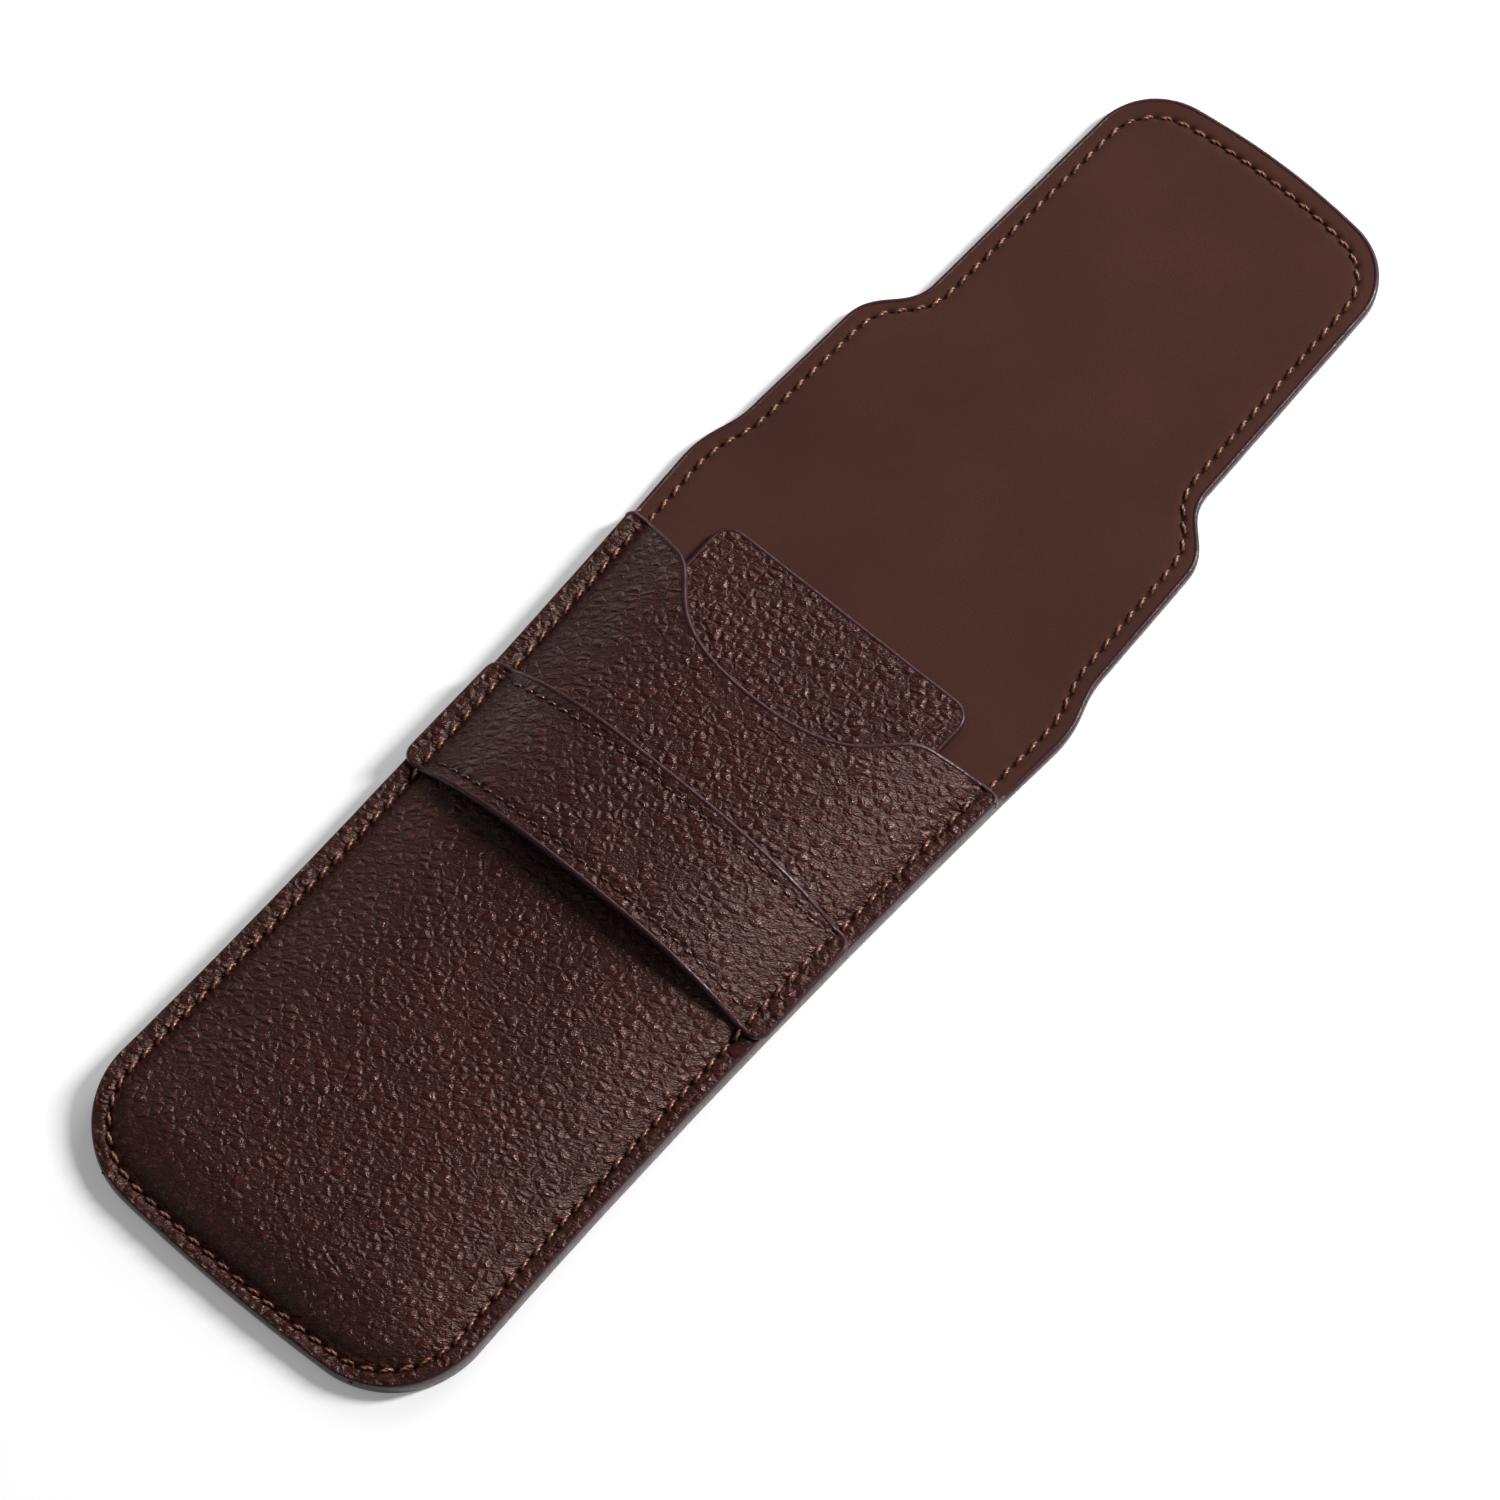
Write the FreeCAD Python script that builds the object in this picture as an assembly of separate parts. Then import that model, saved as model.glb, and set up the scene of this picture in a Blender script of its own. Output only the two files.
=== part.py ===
import FreeCAD, Part
import math
import os

# Watch pouch of pebbled leather, lying open and empty.
# X runs across, +Y along the pouch towards the tip of the flap, +Z up. All sizes are millimetres.
# The origin is the middle of the open pouch, on the surface that it lies on.

V = FreeCAD.Vector

# Driving dimensions: plan of the hide
open_length = 231.6
bottom_half_width = 33.0
waist_draw_in = 0.4
waist_from_bottom = 56.0
mouth_flare = 2.1
mouth_from_bottom = 127.5
fold_flare = 0.6
neck_draw_in = 2.4
neck_taper = 0.7
tongue_draw_in = 6.4
tongue_taper = 1.0
bottom_corner_radius = 15.0
bottom_edge_radius = 300.0
tip_corner_radius = 11.0
tip_edge_radius = 110.0

# Driving dimensions: the flap, measured along it
back_fold_from_mouth = 10.0
first_step_length = 14.0
bridge_length = 16.0
neck_length = 18.5
second_step_length = 13.0

# Driving dimensions: thickness of the layers
leather_thickness = 1.2
lining_thickness = 0.8
board_thickness = 0.4
padding_thickness = 0.8
keeper_leather_thickness = 1.0
keeper_lining_thickness = 0.5
leaf_leather_thickness = 0.7
leaf_lining_thickness = 0.5
edge_paint_thickness = 0.3

# Driving dimensions: the formed front and its scooped mouth
bulge_height = 7.8
bottom_puff = 1.9
puff_run = 6.0
bulge_roundness = 3
scoop_half_width = 25.0
shoulder_drop = 3.3
scoop_depth = 11.5
shoulder_handle_across = 8.0
shoulder_handle_along = 1.4
scoop_floor_handle = 20.2
notch_depth = 1.7
notch_width = 3.9
notch_overrun = 0.6
notch_floor_share = 0.45

# Driving dimensions: the keeper strap over the front
keeper_from_mouth = 33.0
keeper_width = 20.0
keeper_overhang = 0.6
keeper_corner_radius = 2.0
tongue_clearance = 0.1

# Driving dimensions: the divider leaf inside the pocket
leaf_from_side = 9.8
leaf_past_mouth = 5.5
leaf_corner_radius = 3.0
leaf_free_length = 79.0
leaf_tail_tuck = 0.4
tail_from_edge = 1.0
leaf_rest_gap = 0.1
leaf_hinge_gap = 0.1

# Driving dimensions: sewing
stitch_inset = 2.5
tip_stitch_inset = 3.1
bottom_stitch_inset = 1.9
stitch_pitch = 2.8
stitch_length = 2.0
thread_width = 0.6
thread_height = 0.3
thread_seat_gap = 0.03
stitch_slant_deg = 8.0
groove_width = 1.0
groove_depth = 0.45
valley_from_stitch = 1.6
arch_from_stitch = 1.1
keeper_row_inset = 2.0
padding_from_valley = 1.2
padding_seat_gap = 0.02
board_from_stitch = 3.0
board_from_fold = 2.0
thread_from_fold = 0.6

# Half widths and places that follow from the sizes
waist_half_width = bottom_half_width - waist_draw_in
mouth_half_width = waist_half_width + mouth_flare
fold_half_width = mouth_half_width + fold_flare
neck_half_width = fold_half_width - neck_draw_in
neck_end_half_width = neck_half_width - neck_taper
tongue_half_width = neck_end_half_width - tongue_draw_in
tip_half_width = tongue_half_width - tongue_taper
bottom_y = -open_length / 2
tip_y = open_length / 2
mouth_y = bottom_y + mouth_from_bottom
back_fold_y = mouth_y + back_fold_from_mouth
neck_start_y = back_fold_y + first_step_length
front_fold_y = back_fold_y + bridge_length
neck_end_y = neck_start_y + neck_length
tongue_start_y = neck_end_y + second_step_length
waist_y = bottom_y + waist_from_bottom
hide_thickness = leather_thickness + lining_thickness
rim_height = 2 * hide_thickness
keeper_thickness = keeper_leather_thickness + keeper_lining_thickness
keeper_top_y = mouth_y - keeper_from_mouth
keeper_bottom_y = keeper_top_y - keeper_width
keeper_gap = hide_thickness + tongue_clearance
leaf_half_width = bottom_half_width - leaf_from_side
leaf_top_y = mouth_y + leaf_past_mouth
leaf_start_y = leaf_top_y - leaf_free_length
leaf_bottom_z = hide_thickness + leaf_rest_gap
leaf_middle_z = leaf_bottom_z + leaf_lining_thickness
leaf_top_z = leaf_middle_z + leaf_leather_thickness
valley_inset = stitch_inset + valley_from_stitch
pocket_floor_y = bottom_y + bottom_stitch_inset + valley_from_stitch
shoulder_y = mouth_y - shoulder_drop
above_everything = 2 * (rim_height + bulge_height + keeper_gap + keeper_thickness)
beyond = 6.0

# Spacing of the points that carry the formed sheets
wide_spacing = 4.5
seam_spacing = 1.0
seam_band = 6.0
long_spacing = 7.0
floor_spacing = 1.25


# Plan outlines

def line(x0, y0, x1, y1):
    return Part.LineSegment(V(x0, y0, 0), V(x1, y1, 0)).toShape()


def arc(x0, y0, x1, y1, x2, y2):
    return Part.Arc(V(x0, y0, 0), V(x1, y1, 0), V(x2, y2, 0)).toShape()


def ease(x0, y0, x1, y1):
    """An S-curve between two stretches that both run along the pouch."""
    middle = (y0 + y1) / 2
    curve = Part.BezierCurve()
    curve.setPoles([V(x0, y0, 0), V(x0, middle, 0), V(x1, middle, 0), V(x1, y1, 0)])
    return curve.toShape()


def mirrored(edges):
    """The same edges on the other side of the centre line, in the order that closes the loop."""
    flipped = [edge.mirror(V(0, 0, 0), V(1, 0, 0)) for edge in edges]
    return flipped[::-1]


def end_corner(half_width, corner_radius, edge_radius):
    """Centre of a corner arc that is tangent to the side and to a wide end arc through the origin."""
    across = half_width - corner_radius
    along = edge_radius - math.sqrt((edge_radius - corner_radius) ** 2 - across ** 2)
    return across, along


def end_tangent(half_width, corner_radius, edge_radius):
    """Where the corner arc meets the end arc, measured as end_corner measures."""
    across, along = end_corner(half_width, corner_radius, edge_radius)
    reach = edge_radius / (edge_radius - corner_radius)
    return across * reach, edge_radius - (edge_radius - along) * reach


def end_edges(half_width, corner_radius, edge_radius, end_y, inward):
    """Half of one rounded end: the end arc and the corner arc, from the centre line to the side."""
    across, along = end_corner(half_width, corner_radius, edge_radius)
    meet_x, meet_along = end_tangent(half_width, corner_radius, edge_radius)
    start_angle = math.atan2(across, edge_radius - along)
    middle_angle = (start_angle + math.pi / 2) / 2
    middle_x = across + corner_radius * math.sin(middle_angle)
    middle_along = along - corner_radius * math.cos(middle_angle)
    half_x = meet_x / 2
    half_along = edge_radius - math.sqrt(edge_radius ** 2 - half_x ** 2)
    end_arc = arc(0, end_y, half_x, end_y + inward * half_along, meet_x, end_y + inward * meet_along)
    corner_arc = arc(meet_x, end_y + inward * meet_along, middle_x, end_y + inward * middle_along,
                     half_width, end_y + inward * along)
    return [end_arc, corner_arc], end_y + inward * along


def side_curve(start_y, inset):
    """The long side of the body, from the bottom corner to the back fold."""
    curve = Part.BSplineCurve()
    curve.interpolate([V(bottom_half_width - inset, start_y, 0), V(waist_half_width - inset, waist_y, 0),
                       V(mouth_half_width - inset, mouth_y, 0), V(fold_half_width - inset, back_fold_y, 0)])
    return curve.toShape()


def hide_wire(inset, tip_inset, bottom_inset):
    """Outline of the whole hide, drawn in by inset along the sides and by their own insets at both ends."""
    bottom, side_start = end_edges(bottom_half_width - inset, bottom_corner_radius - inset,
                                   bottom_edge_radius - inset, bottom_y + bottom_inset, 1)
    tip, side_end = end_edges(tip_half_width - inset, tip_corner_radius - inset,
                              tip_edge_radius - inset, tip_y - tip_inset, -1)
    right = list(bottom)
    right.append(side_curve(side_start, inset))
    right.append(ease(fold_half_width - inset, back_fold_y, neck_half_width - inset, neck_start_y))
    right.append(line(neck_half_width - inset, neck_start_y, neck_end_half_width - inset, neck_end_y))
    right.append(ease(neck_end_half_width - inset, neck_end_y, tongue_half_width - inset, tongue_start_y))
    right.append(line(tongue_half_width - inset, tongue_start_y, tip_half_width - inset, side_end))
    right += tip[::-1]
    return Part.Wire(Part.__sortEdges__(right + mirrored(right)))


def prism(wire, low, high):
    face = Part.Face(wire)
    face.translate(V(0, 0, low))
    return face.extrude(V(0, 0, high - low))


def hide_prism(inset, low, high):
    return prism(hide_wire(inset, inset, inset), low, high)


def seam_wire(inward):
    """The line that the outline seam follows, drawn in by inward."""
    return hide_wire(stitch_inset + inward, tip_stitch_inset + inward, bottom_stitch_inset + inward)


def mouth_wire(shift):
    """All of the plan below the mouth edge, which is moved along the pouch by shift."""
    far = mouth_half_width + beyond
    notch_out = mouth_half_width + notch_overrun
    notch_in = notch_out - notch_width
    right = [line(far, bottom_y - beyond, far, mouth_y + shift)]
    right.append(line(far, mouth_y + shift, notch_out, mouth_y + shift))
    floor_x = notch_out - notch_width * notch_floor_share
    right.append(arc(notch_out, mouth_y + shift, floor_x, mouth_y - notch_depth + shift,
                     notch_in, mouth_y - notch_depth / 2 + shift))
    right.append(line(notch_in, mouth_y - notch_depth / 2 + shift, scoop_half_width, shoulder_y + shift))
    curve = Part.BezierCurve()
    curve.setPoles([V(scoop_half_width, shoulder_y + shift, 0),
                    V(scoop_half_width - shoulder_handle_across, shoulder_y - shoulder_handle_along + shift, 0),
                    V(scoop_floor_handle, shoulder_y - scoop_depth + shift, 0),
                    V(0, shoulder_y - scoop_depth + shift, 0)])
    right.append(curve.toShape())
    right.insert(0, line(0, bottom_y - beyond, far, bottom_y - beyond))
    return Part.Wire(Part.__sortEdges__(right + mirrored(right)))


def round_rectangle(x0, x1, y0, y1, radius):
    """A rectangle across the pouch with four round corners."""
    bow = radius * (1 - math.sqrt(0.5))
    edges = [line(x0 + radius, y0, x1 - radius, y0)]
    edges.append(arc(x1 - radius, y0, x1 - bow, y0 + bow, x1, y0 + radius))
    edges.append(line(x1, y0 + radius, x1, y1 - radius))
    edges.append(arc(x1, y1 - radius, x1 - bow, y1 - bow, x1 - radius, y1))
    edges.append(line(x1 - radius, y1, x0 + radius, y1))
    edges.append(arc(x0 + radius, y1, x0 + bow, y1 - bow, x0, y1 - radius))
    edges.append(line(x0, y1 - radius, x0, y0 + radius))
    edges.append(arc(x0, y0 + radius, x0 + bow, y0 + bow, x0 + radius, y0))
    return Part.Wire(edges)


def leaf_wire(grow):
    """Plan of the free leaf: straight at its hinge, with two round corners at the mouth."""
    half = leaf_half_width + grow
    top = leaf_top_y + grow
    radius = leaf_corner_radius + grow
    bow = radius * (1 - math.sqrt(0.5))
    right = [line(0, leaf_start_y + leaf_hinge_gap, half, leaf_start_y + leaf_hinge_gap)]
    right.append(line(half, leaf_start_y + leaf_hinge_gap, half, top - radius))
    right.append(arc(half, top - radius, half - bow, top - bow, half - radius, top))
    right.append(line(half - radius, top, 0, top))
    return Part.Wire(Part.__sortEdges__(right + mirrored(right)))


def slab(y0, y1, z0=-1.0, z1=above_everything):
    """A block as wide as everything, between two places along the pouch."""
    half = fold_half_width + beyond
    return Part.makeBox(2 * half, y1 - y0, z1 - z0, V(-half, y0, z0))


# Formed sheets: smooth surfaces given as a height over the plan

def side_half_width(y):
    """Half width of the body at y, past the bottom corners."""
    if y < waist_y:
        share = (y - bottom_y) / (waist_y - bottom_y)
        return bottom_half_width + (waist_half_width - bottom_half_width) * share
    share = (y - waist_y) / (mouth_y - waist_y)
    return waist_half_width + (mouth_half_width - waist_half_width) * share


def pocket_half_width(y, inset):
    """Half width of the pocket at y, which follows the round bottom corners."""
    half = side_half_width(y) - inset
    radius = bottom_corner_radius - inset
    across, along = end_corner(bottom_half_width - inset, radius, bottom_edge_radius - inset)
    below = (bottom_y + inset + along) - y
    if below <= 0:
        return half
    if below >= radius:
        return across
    return across + math.sqrt(radius ** 2 - below ** 2)


def pocket_share(y):
    """0 at the bottom seam and 1 at the mouth."""
    return max(0.0, (y - pocket_floor_y) / (mouth_y - pocket_floor_y))


def puff_share(y):
    """Rises fast from 0 at the bottom seam to 1."""
    run = min(1.0, max(0.0, (y - pocket_floor_y) / puff_run))
    return 1 - (1 - run) ** 2


def crown(y, height):
    """Height of the formed front along its centre line, without the rim."""
    puff = bottom_puff - bulge_height + height
    return puff * puff_share(y) + (height - puff) * pocket_share(y)


def across_share(x, y, inset, power):
    share = min(1.0, abs(x) / pocket_half_width(y, inset))
    return 1 - share ** power


def pocket_roof(x, y):
    """Underside of the front lining."""
    rise = crown(y, bulge_height - padding_thickness)
    return hide_thickness + rise * across_share(x, y, valley_inset, bulge_roundness)


def padding_top(x, y):
    """Underside of the front leather, over the padding."""
    padding = padding_thickness * puff_share(y) * across_share(x, y, valley_inset, 2 * bulge_roundness)
    return pocket_roof(x, y) + lining_thickness + padding


def keeper_under(x, y):
    """Underside of the keeper: sewn flat at both ends, arched over the front with room for the tongue."""
    arch = crown(y, bulge_height) + keeper_gap
    return rim_height + arch * across_share(x, y, stitch_inset + arch_from_stitch, bulge_roundness)


def steps(start, stop, pitch):
    count = max(1, round((stop - start) / pitch))
    return [start + (stop - start) * i / count for i in range(count + 1)]


def cross_knots():
    """Places across the pouch, close together beside the seams."""
    seam = waist_half_width - stitch_inset
    inner = seam - seam_band
    half = steps(0, inner, wide_spacing) + steps(inner, seam + 2 * seam_spacing, seam_spacing)[1:]
    half.append(fold_half_width + beyond)
    return [-x for x in half[:0:-1]] + half


def along_knots():
    """Places along the pouch, close together beside the bottom seam."""
    turn = pocket_floor_y + puff_run + 2 * floor_spacing
    fine = steps(pocket_floor_y - 2 * floor_spacing, turn, floor_spacing)
    return [bottom_y - beyond] + fine + steps(turn, mouth_y + beyond, long_spacing)[1:]


def averages(knots):
    """Where the control points of a clamped cubic lie, so that the surface is evenly spread in plan."""
    padded = [knots[0]] * 3 + knots + [knots[-1]] * 3
    return [(padded[i + 1] + padded[i + 2] + padded[i + 3]) / 3 for i in range(len(knots) + 2)]


def surface(height):
    """A smooth surface whose parameters are x and y themselves."""
    xs = cross_knots()
    ys = along_knots()
    poles = [[V(x, y, height(x, y)) for y in averages(ys)] for x in averages(xs)]
    x_counts = [4] + [1] * (len(xs) - 2) + [4]
    y_counts = [4] + [1] * (len(ys) - 2) + [4]
    result = Part.BSplineSurface()
    result.buildFromPolesMultsKnots(poles, x_counts, y_counts, xs, ys, False, False, 3, 3)
    return result


def raised(sheet, rise):
    copy = sheet.copy()
    copy.translate(V(0, 0, rise))
    return copy


def below(sheet):
    """Everything under a surface."""
    return sheet.toShape().extrude(V(0, 0, -2 * above_everything))


def between(plan, upper, lower):
    """The part of a plan prism that lies between two surfaces."""
    return plan.common(below(upper)).cut(below(lower))


roof_sheet = surface(pocket_roof)
padding_sheet = surface(padding_top)
front_sheet = raised(padding_sheet, leather_thickness)
keeper_sheet = surface(keeper_under)
keeper_top_sheet = raised(keeper_sheet, keeper_thickness)


# Sewing

def thread_bar(length, hanging):
    """One stitch, flat where it touches the leather and round on its free side."""
    half = thread_width / 2
    crest = -thread_height if hanging else thread_height
    flat = Part.LineSegment(V(0, half, 0), V(0, -half, 0)).toShape()
    bow = Part.Arc(V(0, -half, 0), V(0, 0, crest), V(0, half, 0)).toShape()
    bar = Part.Face(Part.Wire([flat, bow])).extrude(V(length, 0, 0))
    bar.translate(V(-length / 2, 0, 0))
    return bar


def crest_under(sheet, centre, reach):
    """The highest point of a surface under one stitch."""
    places = [(centre.x + across * reach, centre.y + along * reach) for across in (-1, 0, 1) for along in (-1, 0, 1)]
    return max(sheet.value(x, y).z for x, y in places)


def seat_height(centre, half):
    """Height at which one stitch of the outline seam lies, or None where it would cross a step."""
    low = centre.y - half
    high = centre.y + half
    reach = stitch_length / 2
    if high < keeper_bottom_y or keeper_top_y < low and high < mouth_y - notch_depth:
        return crest_under(front_sheet, centre, reach) + thread_seat_gap
    if keeper_bottom_y < low and high < keeper_top_y:
        return crest_under(keeper_top_sheet, centre, thread_width) + thread_seat_gap
    if mouth_y < low:
        return hide_thickness
    return None


def seam_stitches(y0, y1, hanging):
    """The stitches of the outline seam between two places along the pouch."""
    seam = seam_wire(0)
    count = round(seam.Length / stitch_pitch)
    points = seam.discretize(Number=2 * count + 1)
    bars = []
    for i in range(count):
        centre = points[2 * i + 1]
        ahead = points[2 * i + 2] - points[2 * i]
        half = stitch_length / 2 * abs(ahead.y) / ahead.Length + thread_width / 2
        if centre.y - half < y0 + thread_from_fold or centre.y + half > y1 - thread_from_fold:
            continue
        height = groove_depth if hanging else seat_height(centre, half)
        if height is None:
            continue
        bar = thread_bar(stitch_length, hanging)
        angle = math.degrees(math.atan2(ahead.y, ahead.x)) + stitch_slant_deg
        bar.rotate(V(0, 0, 0), V(0, 0, 1), angle)
        bar.translate(V(centre.x, centre.y, height))
        bars.append(bar)
    return Part.makeCompound(bars)


def keeper_stitches(row_y):
    """One row of stitches over the arch of the keeper, clear of the outline seam."""
    top = keeper_top_sheet
    limit = side_half_width(row_y) - stitch_inset - thread_width - stitch_length / 2
    count = int(2 * limit / stitch_pitch)
    bars = []
    for i in range(count):
        x = (i - (count - 1) / 2) * stitch_pitch
        left = top.value(x - stitch_length / 2, row_y)
        right = top.value(x + stitch_length / 2, row_y)
        middle = top.value(x, row_y)
        lift = max(0.0, middle.z - (left.z + right.z) / 2)
        bar = thread_bar((right - left).Length, False)
        bar.rotate(V(0, 0, 0), V(0, -1, 0), math.degrees(math.atan2(right.z - left.z, right.x - left.x)))
        bar.translate(V(x, row_y, (left.z + right.z) / 2 + lift + thread_seat_gap))
        bars.append(bar)
    return Part.makeCompound(bars)


def thread_groove():
    """The groove pressed into the underside, in which the lower thread lies."""
    half = groove_width / 2
    outer = prism(seam_wire(-half), -1.0, groove_depth)
    inner = prism(seam_wire(half), -1.0, groove_depth)
    return outer.cut(inner)


# The hide, its lining and its boards, cut at the two folds

def stretches():
    """The three stretches of the open pouch, each with its two ends."""
    return [("back", bottom_y - beyond, back_fold_y), ("bridge", back_fold_y, front_fold_y),
            ("tongue", front_fold_y, tip_y + beyond)]


def board(name, y0, y1):
    """A thin stiffener, kept back from the sewing and from the folds."""
    inset = stitch_inset + board_from_stitch
    flat = hide_prism(inset, leather_thickness, leather_thickness + board_thickness)
    return flat.common(slab(y0 + board_from_fold, y1 - board_from_fold))


def tail_plan():
    """Plan of the sewn-in tail of the divider, from the bottom seam to the hinge."""
    outline = round_rectangle(-leaf_half_width, leaf_half_width, bottom_y + tail_from_edge, leaf_start_y,
                              edge_paint_thickness)
    return prism(outline, hide_thickness - leaf_tail_tuck, leaf_top_z)


def divider_tail():
    return tail_plan().common(hide_prism(tail_from_edge, 0, above_everything)).common(below(roof_sheet))


def hide_pieces():
    leather = hide_prism(0, 0, leather_thickness).cut(thread_groove())
    lining = hide_prism(0, leather_thickness, hide_thickness)
    pieces = {}
    for name, y0, y1 in stretches():
        plate = board(name, y0, y1)
        pieces[name + "_board"] = plate
        pieces[name + "_leather"] = leather.common(slab(y0, y1))
        pieces[name + "_lining"] = lining.common(slab(y0, y1)).cut(plate)
    pieces["back_lining"] = pieces["back_lining"].cut(divider_tail())
    return pieces


# The formed front

def front_pieces():
    plan = hide_prism(0, 0, above_everything).common(prism(mouth_wire(0), 0, above_everything))
    padding_plan = plan.common(hide_prism(valley_inset + padding_from_valley, 0, above_everything))
    lining_top = raised(roof_sheet, lining_thickness)
    pieces = {}
    pieces["front_lining"] = between(plan, lining_top, roof_sheet)
    pieces["front_padding"] = between(padding_plan, padding_sheet, raised(lining_top, padding_seat_gap))
    pieces["front_leather"] = between(plan, front_sheet, padding_sheet)
    return pieces


# The keeper strap

def keeper_plan(grow):
    half = side_half_width((keeper_top_y + keeper_bottom_y) / 2) + keeper_overhang + grow
    wire = round_rectangle(-half, half, keeper_bottom_y - grow, keeper_top_y + grow, keeper_corner_radius + grow)
    return prism(wire, 0, above_everything)


def keeper_pieces():
    middle = raised(keeper_sheet, keeper_lining_thickness)
    ring = keeper_plan(edge_paint_thickness).cut(keeper_plan(0))
    pieces = {}
    pieces["keeper_lining"] = between(keeper_plan(0), middle, keeper_sheet)
    pieces["keeper_leather"] = between(keeper_plan(0), keeper_top_sheet, middle)
    pieces["keeper_edge_paint"] = between(ring, keeper_top_sheet, keeper_sheet)
    pieces["keeper_upper_thread"] = keeper_stitches(keeper_top_y - keeper_row_inset)
    pieces["keeper_lower_thread"] = keeper_stitches(keeper_bottom_y + keeper_row_inset)
    return pieces


# The divider leaf

def divider_pieces():
    ring = prism(leaf_wire(edge_paint_thickness), leaf_bottom_z, leaf_top_z)
    ring = ring.cut(prism(leaf_wire(0), leaf_bottom_z - 1, leaf_top_z + 1))
    pieces = {}
    pieces["divider_tail"] = divider_tail()
    pieces["divider_lining"] = prism(leaf_wire(0), leaf_bottom_z, leaf_middle_z)
    pieces["divider_leather"] = prism(leaf_wire(0), leaf_middle_z, leaf_top_z)
    pieces["divider_edge_paint"] = ring
    return pieces


# Painted edges and the outline seam

def edge_ring(height):
    return hide_prism(-edge_paint_thickness, 0, height).cut(hide_prism(0, -1, height + 1))


def edge_pieces():
    low_ring = edge_ring(hide_thickness)
    pieces = {}
    for name, y0, y1 in stretches():
        pieces[name + "_edge_paint"] = low_ring.common(slab(y0, y1))
    front_ring = edge_ring(rim_height).common(slab(bottom_y - beyond, mouth_y - notch_depth, hide_thickness))
    front_ring = front_ring.cut(keeper_plan(edge_paint_thickness).common(slab(bottom_y, tip_y, rim_height)))
    pieces["front_edge_paint"] = front_ring
    band = prism(mouth_wire(edge_paint_thickness), 0, above_everything)
    band = band.cut(prism(mouth_wire(0), -1, above_everything + 1)).common(hide_prism(0, 0, above_everything))
    pieces["mouth_edge_paint"] = between(band, front_sheet, roof_sheet)
    return pieces


def seam_pieces():
    pieces = {}
    for name, y0, y1 in stretches():
        pieces[name + "_seam_thread"] = seam_stitches(y0, y1, False)
        pieces[name + "_under_thread"] = seam_stitches(y0, y1, True)
    return pieces


def main():
    os.makedirs("parts", exist_ok=True)
    pieces = {}
    for group in (hide_pieces, front_pieces, keeper_pieces, divider_pieces, edge_pieces, seam_pieces):
        pieces.update(group())
    for name, shape in pieces.items():
        print(name, len(shape.Solids), round(shape.Volume, 2), shape.isValid())
        shape.exportStep("parts/" + name + ".step")


main()
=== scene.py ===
# %% [markdown]
# A slim leather pouch with a long flap, lying open on a pale table.
# Everything here is sewn from thin flat sheets, so the lesson is about sheets: how to lay a grid
# inside an outline, how to press a seam into it, and how to finish its edges.
# The construction model gives the frame. Each piece below is fitted around it, and some of them ride on the
# pouch's body.

# %% Load the frame
import math
import bpy
import numpy as np
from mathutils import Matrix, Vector, noise
from mathutils.kdtree import KDTree


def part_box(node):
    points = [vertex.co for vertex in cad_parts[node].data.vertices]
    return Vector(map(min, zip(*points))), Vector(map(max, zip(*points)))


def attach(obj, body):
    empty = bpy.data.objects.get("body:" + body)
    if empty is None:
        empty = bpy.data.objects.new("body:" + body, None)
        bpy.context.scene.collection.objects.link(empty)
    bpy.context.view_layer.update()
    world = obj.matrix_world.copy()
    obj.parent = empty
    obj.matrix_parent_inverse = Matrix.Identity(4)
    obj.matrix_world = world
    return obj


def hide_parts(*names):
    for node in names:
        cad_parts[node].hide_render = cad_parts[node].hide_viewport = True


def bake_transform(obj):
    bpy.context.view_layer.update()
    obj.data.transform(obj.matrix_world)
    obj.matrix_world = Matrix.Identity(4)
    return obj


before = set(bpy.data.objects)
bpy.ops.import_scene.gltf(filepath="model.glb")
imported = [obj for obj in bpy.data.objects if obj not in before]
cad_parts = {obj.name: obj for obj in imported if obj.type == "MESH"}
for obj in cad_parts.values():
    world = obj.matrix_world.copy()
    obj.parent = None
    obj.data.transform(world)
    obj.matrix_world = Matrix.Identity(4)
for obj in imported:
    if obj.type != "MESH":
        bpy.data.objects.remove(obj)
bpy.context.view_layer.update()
MM = 0.001
scene = bpy.context.scene

# %% [markdown]
# The sizes. A node's box says where the pieces end, so the places along the pouch are read from the frame:
# the two folds are where the bridge starts and ends, the keeper has a box of its own, and so on.
# What a box can't say, such as a corner radius, is written here as a real size in millimetres.

# %% Sizes read from the frame
def node_box(node):
    """The lowest and the highest corner of a construction node, in millimetres."""
    low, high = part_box(node)
    return np.array(low) / MM, np.array(high) / MM


back_low, back_high = node_box("back_leather")
tongue_high = node_box("tongue_leather")[1]
bridge_low, bridge_high = node_box("bridge_leather")
keeper_low, keeper_high = node_box("keeper_leather")
leaf_low, leaf_high = node_box("divider_leather")
lining_high = node_box("tongue_lining")[1]
front_high = node_box("front_leather")[1]

BOTTOM = back_low[1]
TIP = tongue_high[1]
BACK_FOLD = bridge_low[1]
FRONT_FOLD = bridge_high[1]
BRIDGE_MIDDLE = (BACK_FOLD + FRONT_FOLD) / 2
HIDE = lining_high[2]
RIM = 2 * HIDE
LEATHER = back_high[2]
MOUTH = front_high[1]
KEEPER_LOW = keeper_low[1]
KEEPER_HIGH = keeper_high[1]
LEAF_TOP = leaf_high[1]
print("open length", round(TIP - BOTTOM, 1), "mm")
print("folds at", round(BACK_FOLD, 2), "and", round(FRONT_FOLD, 2))

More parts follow.
